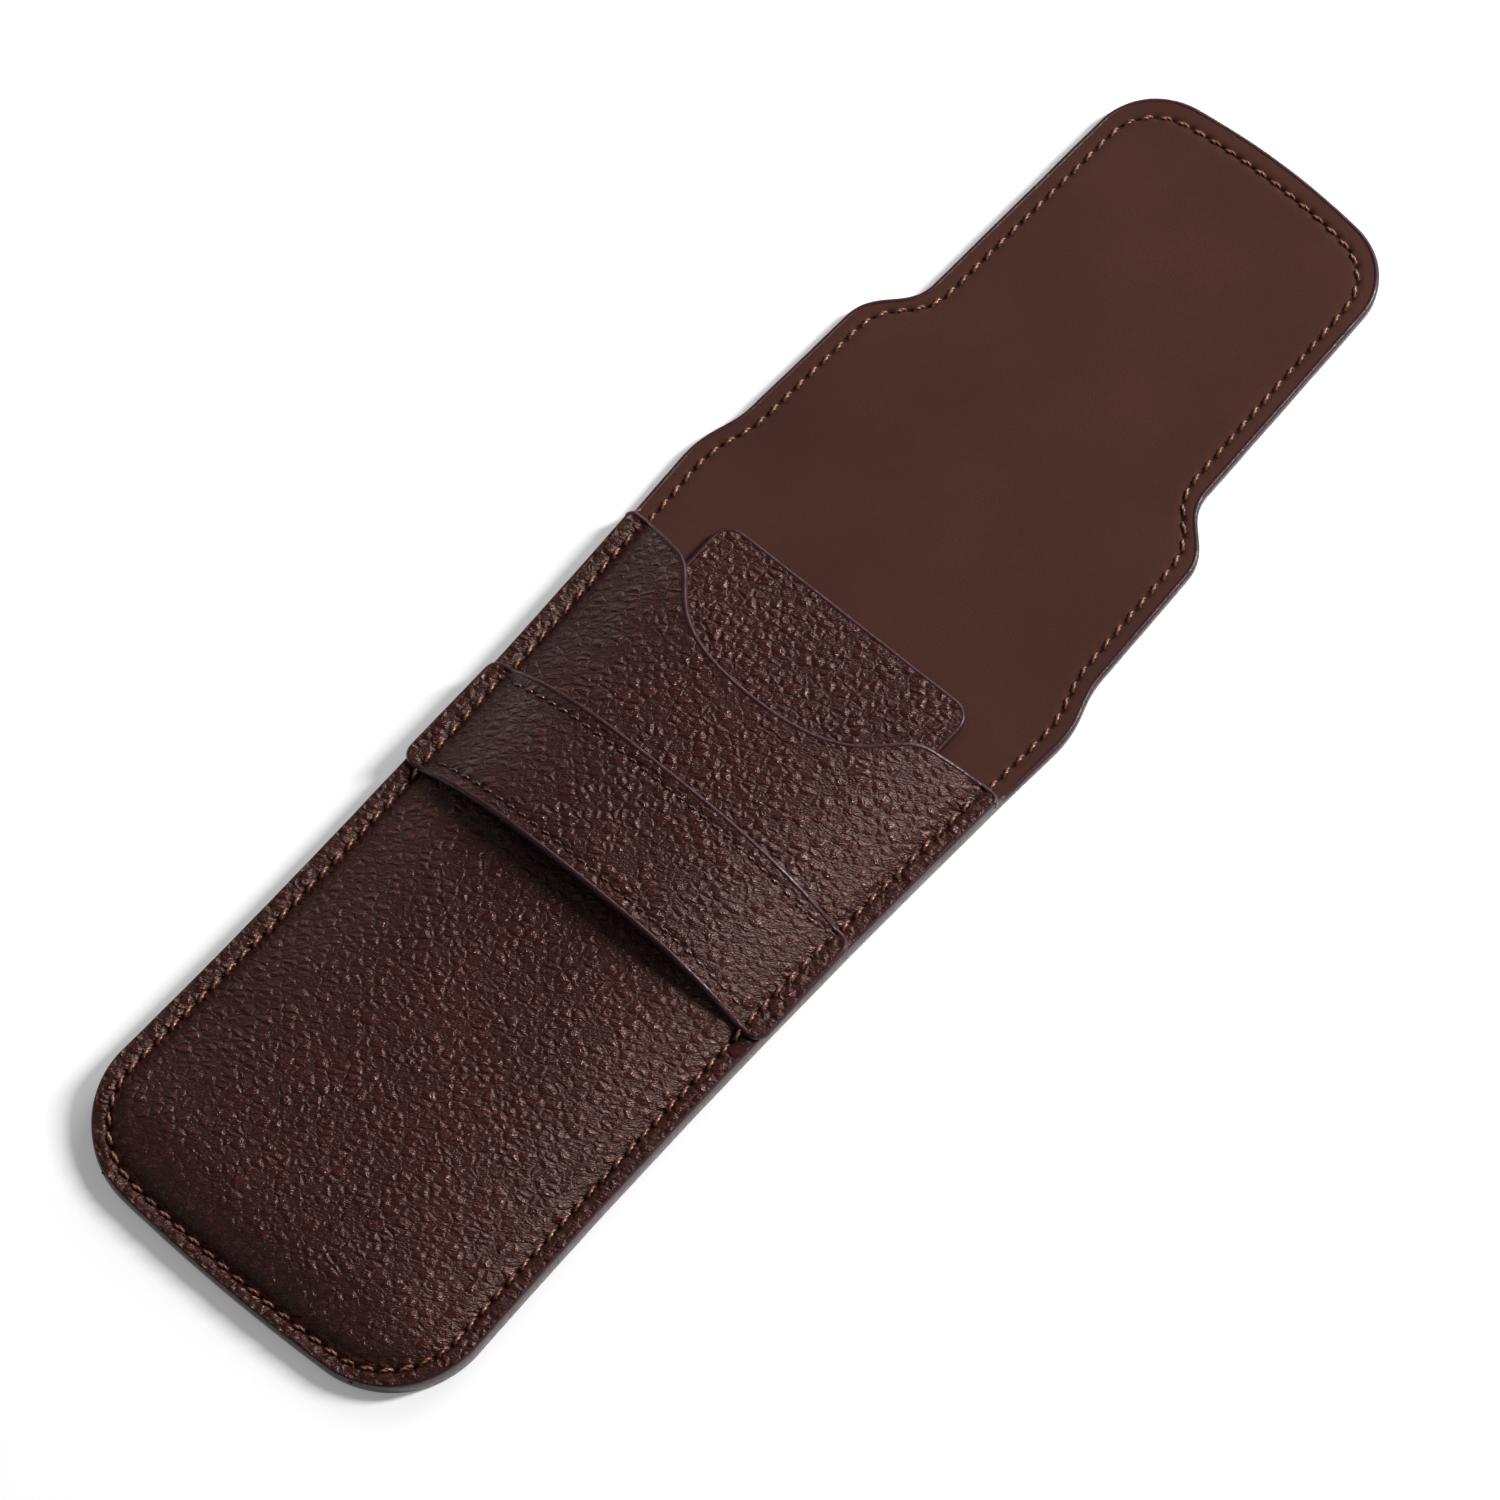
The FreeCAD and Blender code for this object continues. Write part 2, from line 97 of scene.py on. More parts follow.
# %% Sizes of the outline
BOTTOM_HALF = 33.0
WAIST_HALF = 32.6
WAIST = BOTTOM + 56.0
MOUTH_HALF = 34.7
FOLD_HALF = 35.3
NECK_HALF = 32.9
NECK_END_HALF = 32.2
TONGUE_HALF = 25.8
TIP_HALF = 24.8
NECK = BACK_FOLD + 14.0
NECK_END = NECK + 18.5
TONGUE = NECK_END + 13.0
BOTTOM_CORNER = 15.0
BOTTOM_ARC = 300.0
TIP_CORNER = 11.0
TIP_ARC = 110.0

# %% Sizes of the sewing
STITCH_INSET = 2.5
TIP_STITCH_INSET = 3.1
BOTTOM_STITCH_INSET = 1.9
PITCH = 2.8
THREAD = 0.46

# %% [markdown]
# The outline of the hide. The pouch is the same on both sides, so only the right half is drawn,
# from the middle of the bottom edge round to the middle of the tip. Arcs, one cubic and two S-curves
# are enough. Drawing it in by an inset gives the line that the sewing follows.

# %% Half outline
def end_corner(half, corner, edge):
    across = half - corner
    along = edge - math.sqrt((edge - corner) ** 2 - across ** 2)
    return across, along


def round_end(half, corner, edge, end, inward, count=60):
    """Points of half a rounded end, from the centre line to the side."""
    across, along = end_corner(half, corner, edge)
    turn = math.atan2(across, edge - along)
    a = np.linspace(0, turn, count)
    wide = np.stack([edge * np.sin(a), edge - edge * np.cos(a)], 1)
    a = np.linspace(turn, math.pi / 2, count)
    tight = np.stack([across + corner * np.sin(a), along - corner * np.cos(a)], 1)
    points = np.concatenate([wide, tight[1:]])
    points[:, 1] = end + inward * points[:, 1]
    return points


def s_curve(x0, y0, x1, y1, count=60):
    t = np.linspace(0, 1, count)
    middle = (y0 + y1) / 2
    x = x0 * ((1 - t) ** 3 + 3 * (1 - t) ** 2 * t) + x1 * (3 * (1 - t) * t ** 2 + t ** 3)
    y = y0 * (1 - t) ** 3 + 3 * middle * ((1 - t) ** 2 * t + (1 - t) * t ** 2) + y1 * t ** 3
    return np.stack([x, y], 1)


def resample(points, count):
    """The same line with count points, evenly spread along it."""
    steps = np.linalg.norm(np.diff(points, axis=0), axis=1)
    run = np.concatenate([[0], np.cumsum(steps)])
    at = np.linspace(0, run[-1], count)
    return np.stack([np.interp(at, run, points[:, k]) for k in range(points.shape[1])], 1)


def half_outline(inset=0.0, tip_inset=0.0, bottom_inset=0.0, step=0.1):
    bottom = round_end(BOTTOM_HALF - inset, BOTTOM_CORNER - inset, BOTTOM_ARC - inset,
                       BOTTOM + bottom_inset, 1)
    tip = round_end(TIP_HALF - inset, TIP_CORNER - inset, TIP_ARC - inset, TIP - tip_inset, -1)[::-1]
    side_y = np.linspace(bottom[-1, 1], BACK_FOLD, 200)
    knots = [bottom[-1, 1], WAIST, MOUTH, BACK_FOLD]
    cubic = np.polyfit(knots, np.array([BOTTOM_HALF, WAIST_HALF, MOUTH_HALF, FOLD_HALF]) - inset, 3)
    side = np.stack([np.polyval(cubic, side_y), side_y], 1)
    first = s_curve(FOLD_HALF - inset, BACK_FOLD, NECK_HALF - inset, NECK)
    second = s_curve(NECK_END_HALF - inset, NECK_END, TONGUE_HALF - inset, TONGUE)
    points = np.concatenate([bottom, side[1:], first[1:], second, tip])
    length = np.linalg.norm(np.diff(points, axis=0), axis=1).sum()
    return resample(points, int(length / step) + 1)


outline = half_outline()
print("half outline", len(outline), "points, widest", round(outline[:, 0].max(), 2))

# %% [markdown]
# The seam line and what it does to a surface. A needle hole pulls the leather down, and the thread between
# two holes lies in a shallow groove. For any point of a sheet the nearest place on the seam line gives both
# its distance from the seam and how far it is from the next hole. A k-d tree finds that place quickly.

# %% Seam line
seam = half_outline(STITCH_INSET, TIP_STITCH_INSET, BOTTOM_STITCH_INSET, 0.05)
seam_run = np.concatenate([[0], np.cumsum(np.linalg.norm(np.diff(seam, axis=0), axis=1))])
stitch_count = round(seam_run[-1] / PITCH)
seam_pitch = seam_run[-1] / stitch_count
seam_along = np.gradient(seam, axis=0)
seam_along /= np.linalg.norm(seam_along, axis=1)[:, None]
seam_out = np.stack([seam_along[:, 1], -seam_along[:, 0]], 1)
seam_tree = KDTree(len(seam))
for index, point in enumerate(seam):
    seam_tree.insert((point[0], point[1], 0), index)
seam_tree.balance()
print("outline seam:", 2 * stitch_count, "stitches of", round(seam_pitch, 3), "mm")


def seam_distance(plan):
    """Distance outward from the seam line, negative inside it, and run along it."""
    flat = np.stack([np.abs(plan[..., 0]).ravel(), plan[..., 1].ravel()], 1)
    nearest = np.array([seam_tree.find((x, y, 0))[1] for x, y in flat])
    gap = flat - seam[nearest]
    side = np.sign((gap * seam_out[nearest]).sum(1))
    distance = np.linalg.norm(gap, axis=1) * np.where(side < 0, -1, 1)
    return distance.reshape(plan.shape[:-1]), seam_run[nearest].reshape(plan.shape[:-1])


def smooth_step(value, low, high):
    share = np.clip((value - low) / (high - low), 0, 1)
    return share * share * (3 - 2 * share)


def hole_pattern(distance, run, pitch, size=1.0):
    """1 in a needle hole, falling to 0 around it."""
    offset = np.abs((run / pitch + 0.5) % 1.0 - 0.5) * pitch
    return np.exp(-(offset / (0.68 * size)) ** 4 - (distance / (0.30 * size)) ** 2)


def pressed(distance, run, pitch, groove=0.16, hole=0.42, size=1.0):
    """How deep a seam presses into a sheet."""
    channel = np.exp(-(distance / 0.62) ** 2)
    return groove * channel + hole * hole_pattern(distance, run, pitch, size)


def gathered(distance, run, folds=0.20, swell=0.14):
    """The margin outside a seam swells, and the stitches gather it into small folds."""
    outside = smooth_step(distance, 0.0, 0.8)
    flat = np.stack([run.ravel(), distance.ravel()], 1)
    crease = [noise.noise(Vector((r * 1.1 + d * 0.5, d * 0.45, 4.4))) for r, d in flat]
    return outside * (swell + folds * np.array(crease).reshape(run.shape))


# %% [markdown]
# A sheet's grid. Four border lines are enough to lay a grid of quads inside any of these outlines:
# each inner point is blended from the four borders. It gives even, square cells that follow round corners,
# which a fan of triangles or a scaled rectangle wouldn't.

# %% Grid inside four borders
def coons(low, high, left, right):
    """low and high run across, left and right run along. Returns rows x columns x 2."""
    v = np.linspace(0, 1, len(left))[:, None, None]
    u = np.linspace(0, 1, len(low))[None, :, None]
    ruled = (1 - v) * low[None] + v * high[None] + (1 - u) * left[:, None] + u * right[:, None]
    corners = (1 - v) * ((1 - u) * low[0] + u * low[-1]) + v * ((1 - u) * high[0] + u * high[-1])
    return ruled - corners


def mirror(points):
    return points * np.array([-1.0, 1.0])


def whole(half):
    """A line from the left side to the right, made from its right half, which starts in the middle."""
    return np.concatenate([mirror(half[::-1]), half[1:]])


def corner_index(points, end_y):
    """Where the outline turns the corner at one end: the middle of the corner arc."""
    bottom = end_y < 0
    half, radius, edge = TIP_HALF, TIP_CORNER, TIP_ARC
    if bottom:
        half, radius, edge = BOTTOM_HALF, BOTTOM_CORNER, BOTTOM_ARC
    across, along = end_corner(half, radius, edge)
    reach = radius * math.sqrt(0.5)
    target = np.array([across + reach, end_y + (along - reach if bottom else reach - along)])
    return int(np.argmin(np.linalg.norm(points - target, axis=1)))


def outline_grid(y0, y1, cell):
    """A grid inside the hide from y0 to y1. An end beyond the hide means its own round end."""
    low_round = y0 <= BOTTOM
    high_round = y1 >= TIP
    first = corner_index(outline, BOTTOM) if low_round else int(np.argmin(np.abs(outline[:, 1] - y0)))
    last = corner_index(outline, TIP) if high_round else int(np.argmin(np.abs(outline[:, 1] - y1)))
    side = outline[first:last + 1].copy()
    if not low_round:
        side[0, 1] = y0
    if not high_round:
        side[-1, 1] = y1
    rows = int((side[-1, 1] - side[0, 1]) / cell) + 1
    columns = int(2 * side[:, 0].max() / cell) + 1
    right = resample(side, rows)
    left = mirror(right)
    ends = []
    for is_round, part in ((low_round, outline[:first + 1]), (high_round, outline[last:][::-1])):
        if is_round:
            ends.append(resample(whole(part), columns))
        else:
            edge = right[0] if not ends else right[-1]
            ends.append(np.linspace(edge * [-1, 1], edge, columns))
    return coons(ends[0], ends[1], left, right)


# %% [markdown]
# From grids to solid sheets. Real leather has two faces and an edge, so each sheet is a closed mesh:
# a top grid, a lower grid and the walls between them. Its plan position is kept as a UV map,
# so the grain stays on the leather when the flap folds. Extra values, such as where the needle holes are,
# are stored on the points for the material to read.

# %% Closed sheet
def store_uv(mesh, points, scale=0.01):
    layer = mesh.uv_layers.new(name="plan")
    loops = np.zeros(len(mesh.loops), dtype=np.int32)
    mesh.loops.foreach_get("vertex_index", loops)
    layer.data.foreach_set("uv", (points[loops] * scale).astype(np.float32).ravel())


def store_value(mesh, name, values):
    attribute = mesh.attributes.new(name, "FLOAT", "POINT")
    attribute.data.foreach_set("value", np.asarray(values, dtype=np.float32).ravel())


def add_object(name, data):
    made = bpy.data.objects.new(name, data)
    scene.collection.objects.link(made)
    return made


def new_object(name, vertices, faces, uv, material, sharp=50):
    """A mesh object from points in millimetres."""
    mesh = bpy.data.meshes.new(name)
    mesh.from_pydata((np.asarray(vertices) * MM).tolist(), [], faces)
    mesh.polygons.foreach_set("use_smooth", np.ones(len(mesh.polygons), dtype=bool))
    mesh.set_sharp_from_angle(angle=math.radians(sharp))
    store_uv(mesh, np.asarray(uv))
    mesh.materials.append(material)
    mesh.validate()
    return add_object(name, mesh)


def grid_faces(rows, columns, offset=0, flip=False):
    i, j = np.meshgrid(np.arange(rows - 1), np.arange(columns - 1), indexing="ij")
    a = (i * columns + j).ravel() + offset
    quads = np.stack([a, a + 1, a + columns + 1, a + columns], 1)
    return (quads[:, ::-1] if flip else quads).tolist()


def wall_faces(rows, columns, offset):
    """Quads that join the border of the top grid to the border of the lower grid."""
    bottom = list(range(columns))
    right = [r * columns + columns - 1 for r in range(1, rows)]
    top = [(rows - 1) * columns + c for c in range(columns - 2, -1, -1)]
    left = [r * columns for r in range(rows - 2, 0, -1)]
    ring = bottom + right + top + left
    return [[ring[k - 1], ring[k - 1] + offset, ring[k] + offset, ring[k]] for k in range(len(ring))]


def closed_sheet(name, plan, upper, lower, material, values=None):
    rows, columns = plan.shape[:2]
    count = rows * columns
    top = np.concatenate([plan, upper[..., None]], -1).reshape(-1, 3)
    low = np.concatenate([plan, lower[..., None]], -1).reshape(-1, 3)
    faces = grid_faces(rows, columns) + grid_faces(rows, columns, count, True)
    faces += wall_faces(rows, columns, count)
    flat = plan.reshape(-1, 2)
    piece = new_object(name, np.concatenate([top, low]), faces, np.concatenate([flat, flat]), material)
    for key, field in (values or {}).items():
        store_value(piece.data, key, np.concatenate([field.ravel(), field.ravel()]))
    return piece


def over(shape, points):
    """A height function at every point of a grid or of a path."""
    return shape(points[..., 0], points[..., 1])


# %% [markdown]
# Painted edges. The cut edges of the leather are burnished and painted in several coats, which leaves a
# rounded, slightly raised bead. It is swept: one closed profile is carried along the edge,
# and its upper half follows the height of the stack at each place.

# %% Swept bead
EDGE_PROFILE = [(-0.50, 0, 0.14), (-0.10, 0, 0.03), (0.16, 0, 0.12), (0.29, 0, 0.42), (0.33, 0.5, 0.0),
                (0.29, 1, -0.42), (0.18, 1, -0.10), (0.00, 1, 0.05), (-0.22, 1, 0.09), (-0.42, 1, 0.03),
                (-0.50, 1, -0.14)]


def outward(path, closed):
    """Unit normals in plan, to the right of the way that the path runs."""
    if closed:
        along = np.roll(path, -1, axis=0) - np.roll(path, 1, axis=0)
    else:
        along = np.gradient(path, axis=0)
    along = along[:, :2] / np.linalg.norm(along[:, :2], axis=1)[:, None]
    return np.stack([along[:, 1], -along[:, 0]], 1)


def wobble(path, seed, size=0.035, scale=0.16):
    """Small unevenness of the paint along an edge."""
    return np.array([noise.noise(Vector((p[0] * scale, p[1] * scale, seed))) for p in path]) * size


def bead(name, path, base, height, material, closed=False, profile=EDGE_PROFILE, width=1.0, seed=1.7):
    """A rounded edge along path, from base up by height, both given at each point of the path."""
    normal = outward(path, closed)
    uneven = wobble(path, seed)
    sections = []
    for out, share, rise in profile:
        reach = out * width + uneven * (1 if out > 0 else 0)
        flat = path[:, :2] + normal * np.broadcast_to(reach, len(path))[:, None]
        sections.append(np.concatenate([flat, (base + share * height + rise + uneven * share)[:, None]], 1))
    ring = len(profile)
    points = np.stack(sections, 1).reshape(-1, 3)
    count = len(path)
    faces = []
    for i in range(count if closed else count - 1):
        here, there = i * ring, ((i + 1) % count) * ring
        for k in range(ring):
            n = (k + 1) % ring
            faces.append([here + k, there + k, there + n, here + n])
    if not closed:
        faces.append(list(range(ring)))
        faces.append(list(range((count - 1) * ring, count * ring))[::-1])
    run = np.concatenate([[0], np.cumsum(np.linalg.norm(np.diff(path[:, :2], axis=0), axis=1))])
    uv = np.stack([np.repeat(run, ring), np.tile(np.arange(ring) * 0.4, count)], 1)
    return new_object(name, points, faces, uv, material, sharp=75)


# %% [markdown]
# Thread. Each stitch is a short piece of twisted thread that rises out of one hole and dives into the next.
# One stitch is built once as a small tube with two plies wound round each other, and then copied to every
# place along a seam with its own direction and a slight slant. All stitches of a seam are one mesh.

# %% Stitches
RINGS = 17
SIDES = 10
SLANT = 12.0
STITCH_SHARE = 0.86


def stitch_tube(thread):
    """A twisted tube along X, one unit long, with its ends bent down."""
    t = np.linspace(-1, 1, RINGS)
    radius = thread / 2 * (1 - 0.55 * np.abs(t) ** 5)
    lift = 0.20 - 0.95 * np.abs(t) ** 3.2
    a = np.linspace(0, 2 * math.pi, SIDES, endpoint=False)
    points = []
    for step, r, z in zip(t, radius, lift):
        ply = r * (1 + 0.34 * np.cos(2 * (a - 4.2 * step)))
        points.append(np.stack([np.full(SIDES, step / 2), ply * np.cos(a), z + ply * np.sin(a)], 1))
    faces = []
    for i in range(RINGS - 1):
        for k in range(SIDES):
            n = (k + 1) % SIDES
            faces.append([i * SIDES + k, i * SIDES + n, (i + 1) * SIDES + n, (i + 1) * SIDES + k])
    faces.append(list(range(SIDES))[::-1])
    faces.append(list(range((RINGS - 1) * SIDES, RINGS * SIDES)))
    return np.concatenate(points), faces


def place_stitches(name, starts, ends, material, thread=THREAD, flip=False):
    """Stitches from each start to each end, given as points in millimetres."""
    tube, faces = stitch_tube(thread)
    all_points, all_faces, all_uv = [], [], []
    for number, (a, b) in enumerate(zip(starts, ends)):
        along = b - a
        length = np.linalg.norm(along) * STITCH_SHARE
        along = along / np.linalg.norm(along)
        turn = math.radians(SLANT + 4 * noise.noise(Vector((number * 0.7, 3.1, 0.4))))
        up = np.array([0, 0, -1.0 if flip else 1.0])
        side = np.cross(up, along)
        side /= np.linalg.norm(side)
        along = along * math.cos(turn) + side * math.sin(turn)
        side = np.cross(up, along)
        side /= np.linalg.norm(side)
        rise = np.cross(along, side)
        local = tube * [length, 1, 1]
        world = (a + b) / 2 + local[:, :1] * along + local[:, 1:2] * side + local[:, 2:] * rise
        shift = len(all_points) * len(tube)
        all_points.append(world)
        all_faces += [[v + shift for v in face] for face in faces]
        all_uv.append(np.stack([tube[:, 0] + number, np.tile(np.arange(SIDES) / SIDES, RINGS)], 1))
    uv = np.concatenate(all_uv)
    return new_object(name, np.concatenate(all_points), all_faces, uv, material, sharp=180)


# %% [markdown]
# Shader groups. Grain and tone are used by several finishes, so each is a node group with its own inputs.
# The grain group makes pebbles: cells of a Voronoi pattern whose borders sink, warped a little so that no
# cell is regular, with a finer set of creases on top. It gives a height, a mask of the sunken creases,
# and broad patches in which the finish is a little duller.

# %% Node group helpers
FLOAT = "NodeSocketFloat"
VECTOR = "NodeSocketVector"
COLOR = "NodeSocketColor"


def new_group(name, inputs, outputs):
    group = bpy.data.node_groups.new(name, "ShaderNodeTree")
    for label, kind, default in inputs:
        socket = group.interface.new_socket(name=label, in_out="INPUT", socket_type=kind)
        if default is not None:
            socket.default_value = default
    for label, kind in outputs:
        group.interface.new_socket(name=label, in_out="OUTPUT", socket_type=kind)
    return group, group.nodes.new("NodeGroupInput"), group.nodes.new("NodeGroupOutput")


def connect(tree, node, **inputs):
    """Feeds inputs of a node, by name or by number, each with a value or with another node's socket."""
    for key, value in inputs.items():
        socket = node.inputs[int(key[1:])] if key[0] == "_" else node.inputs[key.replace("_", " ")]
        if isinstance(value, bpy.types.NodeSocket):
            tree.links.new(value, socket)
        else:
            socket.default_value = value
    return node


def add(tree, kind, settings=None, **inputs):
    """A new node with its settings and its inputs."""
    node = tree.nodes.new("ShaderNode" + kind)
    for key, value in (settings or {}).items():
        setattr(node, key, value)
    return connect(tree, node, **inputs)


def maths(tree, operation, a, b=0.0, clamp=False):
    return add(tree, "Math", {"operation": operation, "use_clamp": clamp}, _0=a, _1=b).outputs[0]


def mixed(tree, share, one, other):
    """A colour between two others."""
    return add(tree, "Mix", {"data_type": "RGBA"}, _0=share, _6=one, _7=other).outputs[2]


def ramp(tree, value, low, high, to_low=0.0, to_high=1.0):
    """Smoothly maps low..high to to_low..to_high."""
    settings = {"interpolation_type": "SMOOTHSTEP", "clamp": True}
    return add(tree, "MapRange", settings, Value=value, From_Min=low, From_Max=high, To_Min=to_low,
               To_Max=to_high).outputs["Result"]


# %% Pebble grain group
def cell_distance(group, where, scale):
    """Distance to the border between two cells, 0 on it."""
    settings = {"feature": "DISTANCE_TO_EDGE"}
    return add(group, "TexVoronoi", settings, Vector=where, Scale=scale, Randomness=0.85).outputs["Distance"]


def make_grain_group():
    inputs = [("Vector", VECTOR, None), ("Pebbles", FLOAT, 68.0), ("Turn", FLOAT, -0.714),
              ("Warp", FLOAT, 0.010), ("Width", FLOAT, 0.12), ("Groove", FLOAT, 0.75),
              ("Pillow", FLOAT, 1.4), ("Wrinkle", FLOAT, 1.1)]
    outputs = [("Height", FLOAT), ("Crease", FLOAT), ("Patch", FLOAT)]
    group, source, sink = new_group("pebble_grain", inputs, outputs)
    turned = add(group, "VectorRotate", {"rotation_type": "Z_AXIS"}, Vector=source.outputs["Vector"],
                 Angle=source.outputs["Turn"]).outputs[0]
    laid = add(group, "VectorMath", {"operation": "MULTIPLY"}, _0=turned, _1=(0.80, 1.10, 1.0)).outputs[0]
    drift = add(group, "TexNoise", Vector=laid, Scale=40.0, Detail=2.0).outputs["Color"]
    centred = add(group, "VectorMath", {"operation": "SUBTRACT"}, _0=drift, _1=(0.5, 0.5, 0.5)).outputs[0]
    moved = add(group, "VectorMath", {"operation": "SCALE"}, _0=centred,
                Scale=source.outputs["Warp"]).outputs[0]
    where = add(group, "VectorMath", {"operation": "ADD"}, _0=laid, _1=moved).outputs[0]
    edge = cell_distance(group, where, source.outputs["Pebbles"])
    flat = maths(group, "SMOOTH_MIN", edge, source.outputs["Width"])
    pebble = maths(group, "DIVIDE", flat, source.outputs["Width"], True)
    pillow = ramp(group, edge, 0.0, 0.5)
    drawn = add(group, "VectorMath", {"operation": "MULTIPLY"}, _0=where, _1=(0.70, 1.25, 1.0)).outputs[0]
    streak = add(group, "TexNoise", Vector=drawn, Scale=210.0, Detail=3.0, Roughness=0.6).outputs["Fac"]
    small_scale = maths(group, "MULTIPLY", source.outputs["Pebbles"], 3.4)
    small = ramp(group, cell_distance(group, drawn, small_scale), 0.0, 0.25)
    fine = maths(group, "ADD", maths(group, "MULTIPLY", streak, 0.9), maths(group, "MULTIPLY", small, 0.3))
    height = maths(group, "ADD", maths(group, "MULTIPLY", pebble, source.outputs["Groove"]),
                   maths(group, "MULTIPLY", pillow, source.outputs["Pillow"]))
    height = maths(group, "ADD", height, maths(group, "MULTIPLY", fine, source.outputs["Wrinkle"]))
    crease = maths(group, "SUBTRACT", 1.0, pebble, True)
    patch = add(group, "TexNoise", Vector=laid, Scale=7.0, Detail=3.0).outputs["Fac"]
    connect(group, sink, Height=height, Crease=crease, Patch=patch)
    return group


grain_group = make_grain_group()


# %% Uneven tone group
def make_tone_group():
    inputs = [("Vector", VECTOR, None), ("Scale", FLOAT, 12.0), ("Dark", COLOR, (0, 0, 0, 1)),
              ("Light", COLOR, (1, 1, 1, 1)), ("Speckle", FLOAT, 0.3)]
    outputs = [("Color", COLOR), ("Fuzz", FLOAT)]
    group, source, sink = new_group("uneven_tone", inputs, outputs)
    broad = add(group, "TexNoise", Vector=source.outputs["Vector"], Scale=source.outputs["Scale"],
                Detail=4.0).outputs["Fac"]
    fine = add(group, "TexNoise", Vector=source.outputs["Vector"], Scale=850.0, Detail=2.0).outputs["Fac"]
    speck = maths(group, "MULTIPLY", maths(group, "SUBTRACT", fine, 0.5), source.outputs["Speckle"])
    share = maths(group, "ADD", ramp(group, broad, 0.3, 0.7), speck, clamp=True)
    color = mixed(group, share, source.outputs["Dark"], source.outputs["Light"])
    connect(group, sink, Color=color, Fuzz=fine)
    return group


tone_group = make_tone_group()


# %% Material helpers
def linear(red, green, blue):
    """A colour as a paint chart gives it, 0 to 255, as linear light."""
    parts = [c / 255 for c in (red, green, blue)]
    return tuple(c / 12.92 if c <= 0.04045 else ((c + 0.055) / 1.055) ** 2.4 for c in parts) + (1.0,)


def new_material(name, **sockets):
    material = bpy.data.materials.new(name)
    material.use_nodes = True
    tree = material.node_tree
    shader = connect(tree, tree.nodes["Principled BSDF"], **sockets)
    return material, tree, shader


def use_group(tree, group, **inputs):
    node = tree.nodes.new("ShaderNodeGroup")
    node.node_tree = group
    return connect(tree, node, **inputs)


def plan_vector(tree):
    return add(tree, "UVMap", {"uv_map": "plan"}).outputs[0]


def bump(tree, height, distance):
    return add(tree, "Bump", Height=height, Distance=distance, Strength=1.0).outputs["Normal"]


# %% [markdown]
# The pebbled leather is a dark chocolate calf with a shrunken grain. Its colour is almost even; the life
# comes from the grain, whose tops catch the light; its creases are painted darker, as painted shade. Its wax
# finish tints what it reflects a little. The needle holes are painted dark from the value stored on the mesh,
# as painted shade in the holes.

# %% Pebbled leather
def pebbled_leather(name, dark, light, depth=0.00015, turn=-0.714):
    waxed = (1.0, 0.74, 0.68, 1.0)
    material, tree, shader = new_material(name, Specular_IOR_Level=0.5, Specular_Tint=waxed)
    where = plan_vector(tree)
    grain = use_group(tree, grain_group, Vector=where, Turn=turn)
    tone = use_group(tree, tone_group, Vector=where, Scale=5.0, Dark=dark, Light=light, Speckle=0.25)
    # Painted shade: the creases are mixed towards a dark brown, standing in for the shade that falls in them.
    crease = ramp(tree, grain.outputs["Crease"], 0.1, 1.0, 0.0, 0.6)
    crease_shaded = mixed(tree, crease, tone.outputs["Color"], linear(34, 13, 9))
    # Painted shade: the needle holes are mixed towards near black, standing in for the shade inside them.
    hole = add(tree, "Attribute", {"attribute_name": "hole"}).outputs["Fac"]
    painted_shade_color = mixed(tree, ramp(tree, hole, 0.15, 0.8), crease_shaded, linear(12, 5, 4))
    rough = maths(tree, "ADD", ramp(tree, grain.outputs["Crease"], 0.0, 1.0, 0.14, 0.38),
                  maths(tree, "MULTIPLY", grain.outputs["Patch"], 0.08))
    normal = bump(tree, grain.outputs["Height"], depth)
    connect(tree, shader, Base_Color=painted_shade_color, Roughness=rough, Normal=normal)
    return material


front_finish = pebbled_leather("front_pebbled_leather", linear(59, 26, 23), linear(71, 33, 29))
back_finish = pebbled_leather("back_pebbled_leather", linear(58, 26, 23), linear(70, 33, 29), turn=0.9)

# %% [markdown]
# The lining is a smooth microsuede: very matt, with a nap that makes faint clouds and a fine speckle.
# A little sheen gives the soft edge that such cloth has at a low angle. The same needle holes are painted
# dark on it, as painted shade in the holes.

# %% Microsuede lining
def microsuede(name, dark, light):
    material, tree, shader = new_material(name, Specular_IOR_Level=0.15, Sheen_Weight=0.05,
                                          Sheen_Roughness=0.5)
    where = plan_vector(tree)
    tone = use_group(tree, tone_group, Vector=where, Scale=4.0, Dark=dark, Light=light, Speckle=2.2)
    # Painted shade: the needle holes are mixed towards a dark brown, standing in for the shade inside them.
    hole = add(tree, "Attribute", {"attribute_name": "hole"}).outputs["Fac"]
    painted_shade_color = mixed(tree, ramp(tree, hole, 0.15, 0.75), tone.outputs["Color"], linear(30, 15, 12))
    nap = add(tree, "TexNoise", Vector=where, Scale=420.0, Detail=4.0, Roughness=0.7).outputs["Fac"]
    rough = ramp(tree, nap, 0.2, 0.8, 0.92, 0.78)
    connect(tree, shader, Base_Color=painted_shade_color, Roughness=rough, Normal=bump(tree, nap, 0.00008))
    return material


lining_finish = microsuede("microsuede_lining", linear(65, 35, 27), linear(71, 40, 32))

# %% [markdown]
# Edge paint is a flexible lacquer, here a dark wine red. It is smoother than the leather, so it draws a thin
# bright line along every edge. A slow noise keeps the coats from looking machined. The thread is tan and
# waxed, so it glints. Its plies are modelled, and the material only adds fibre.

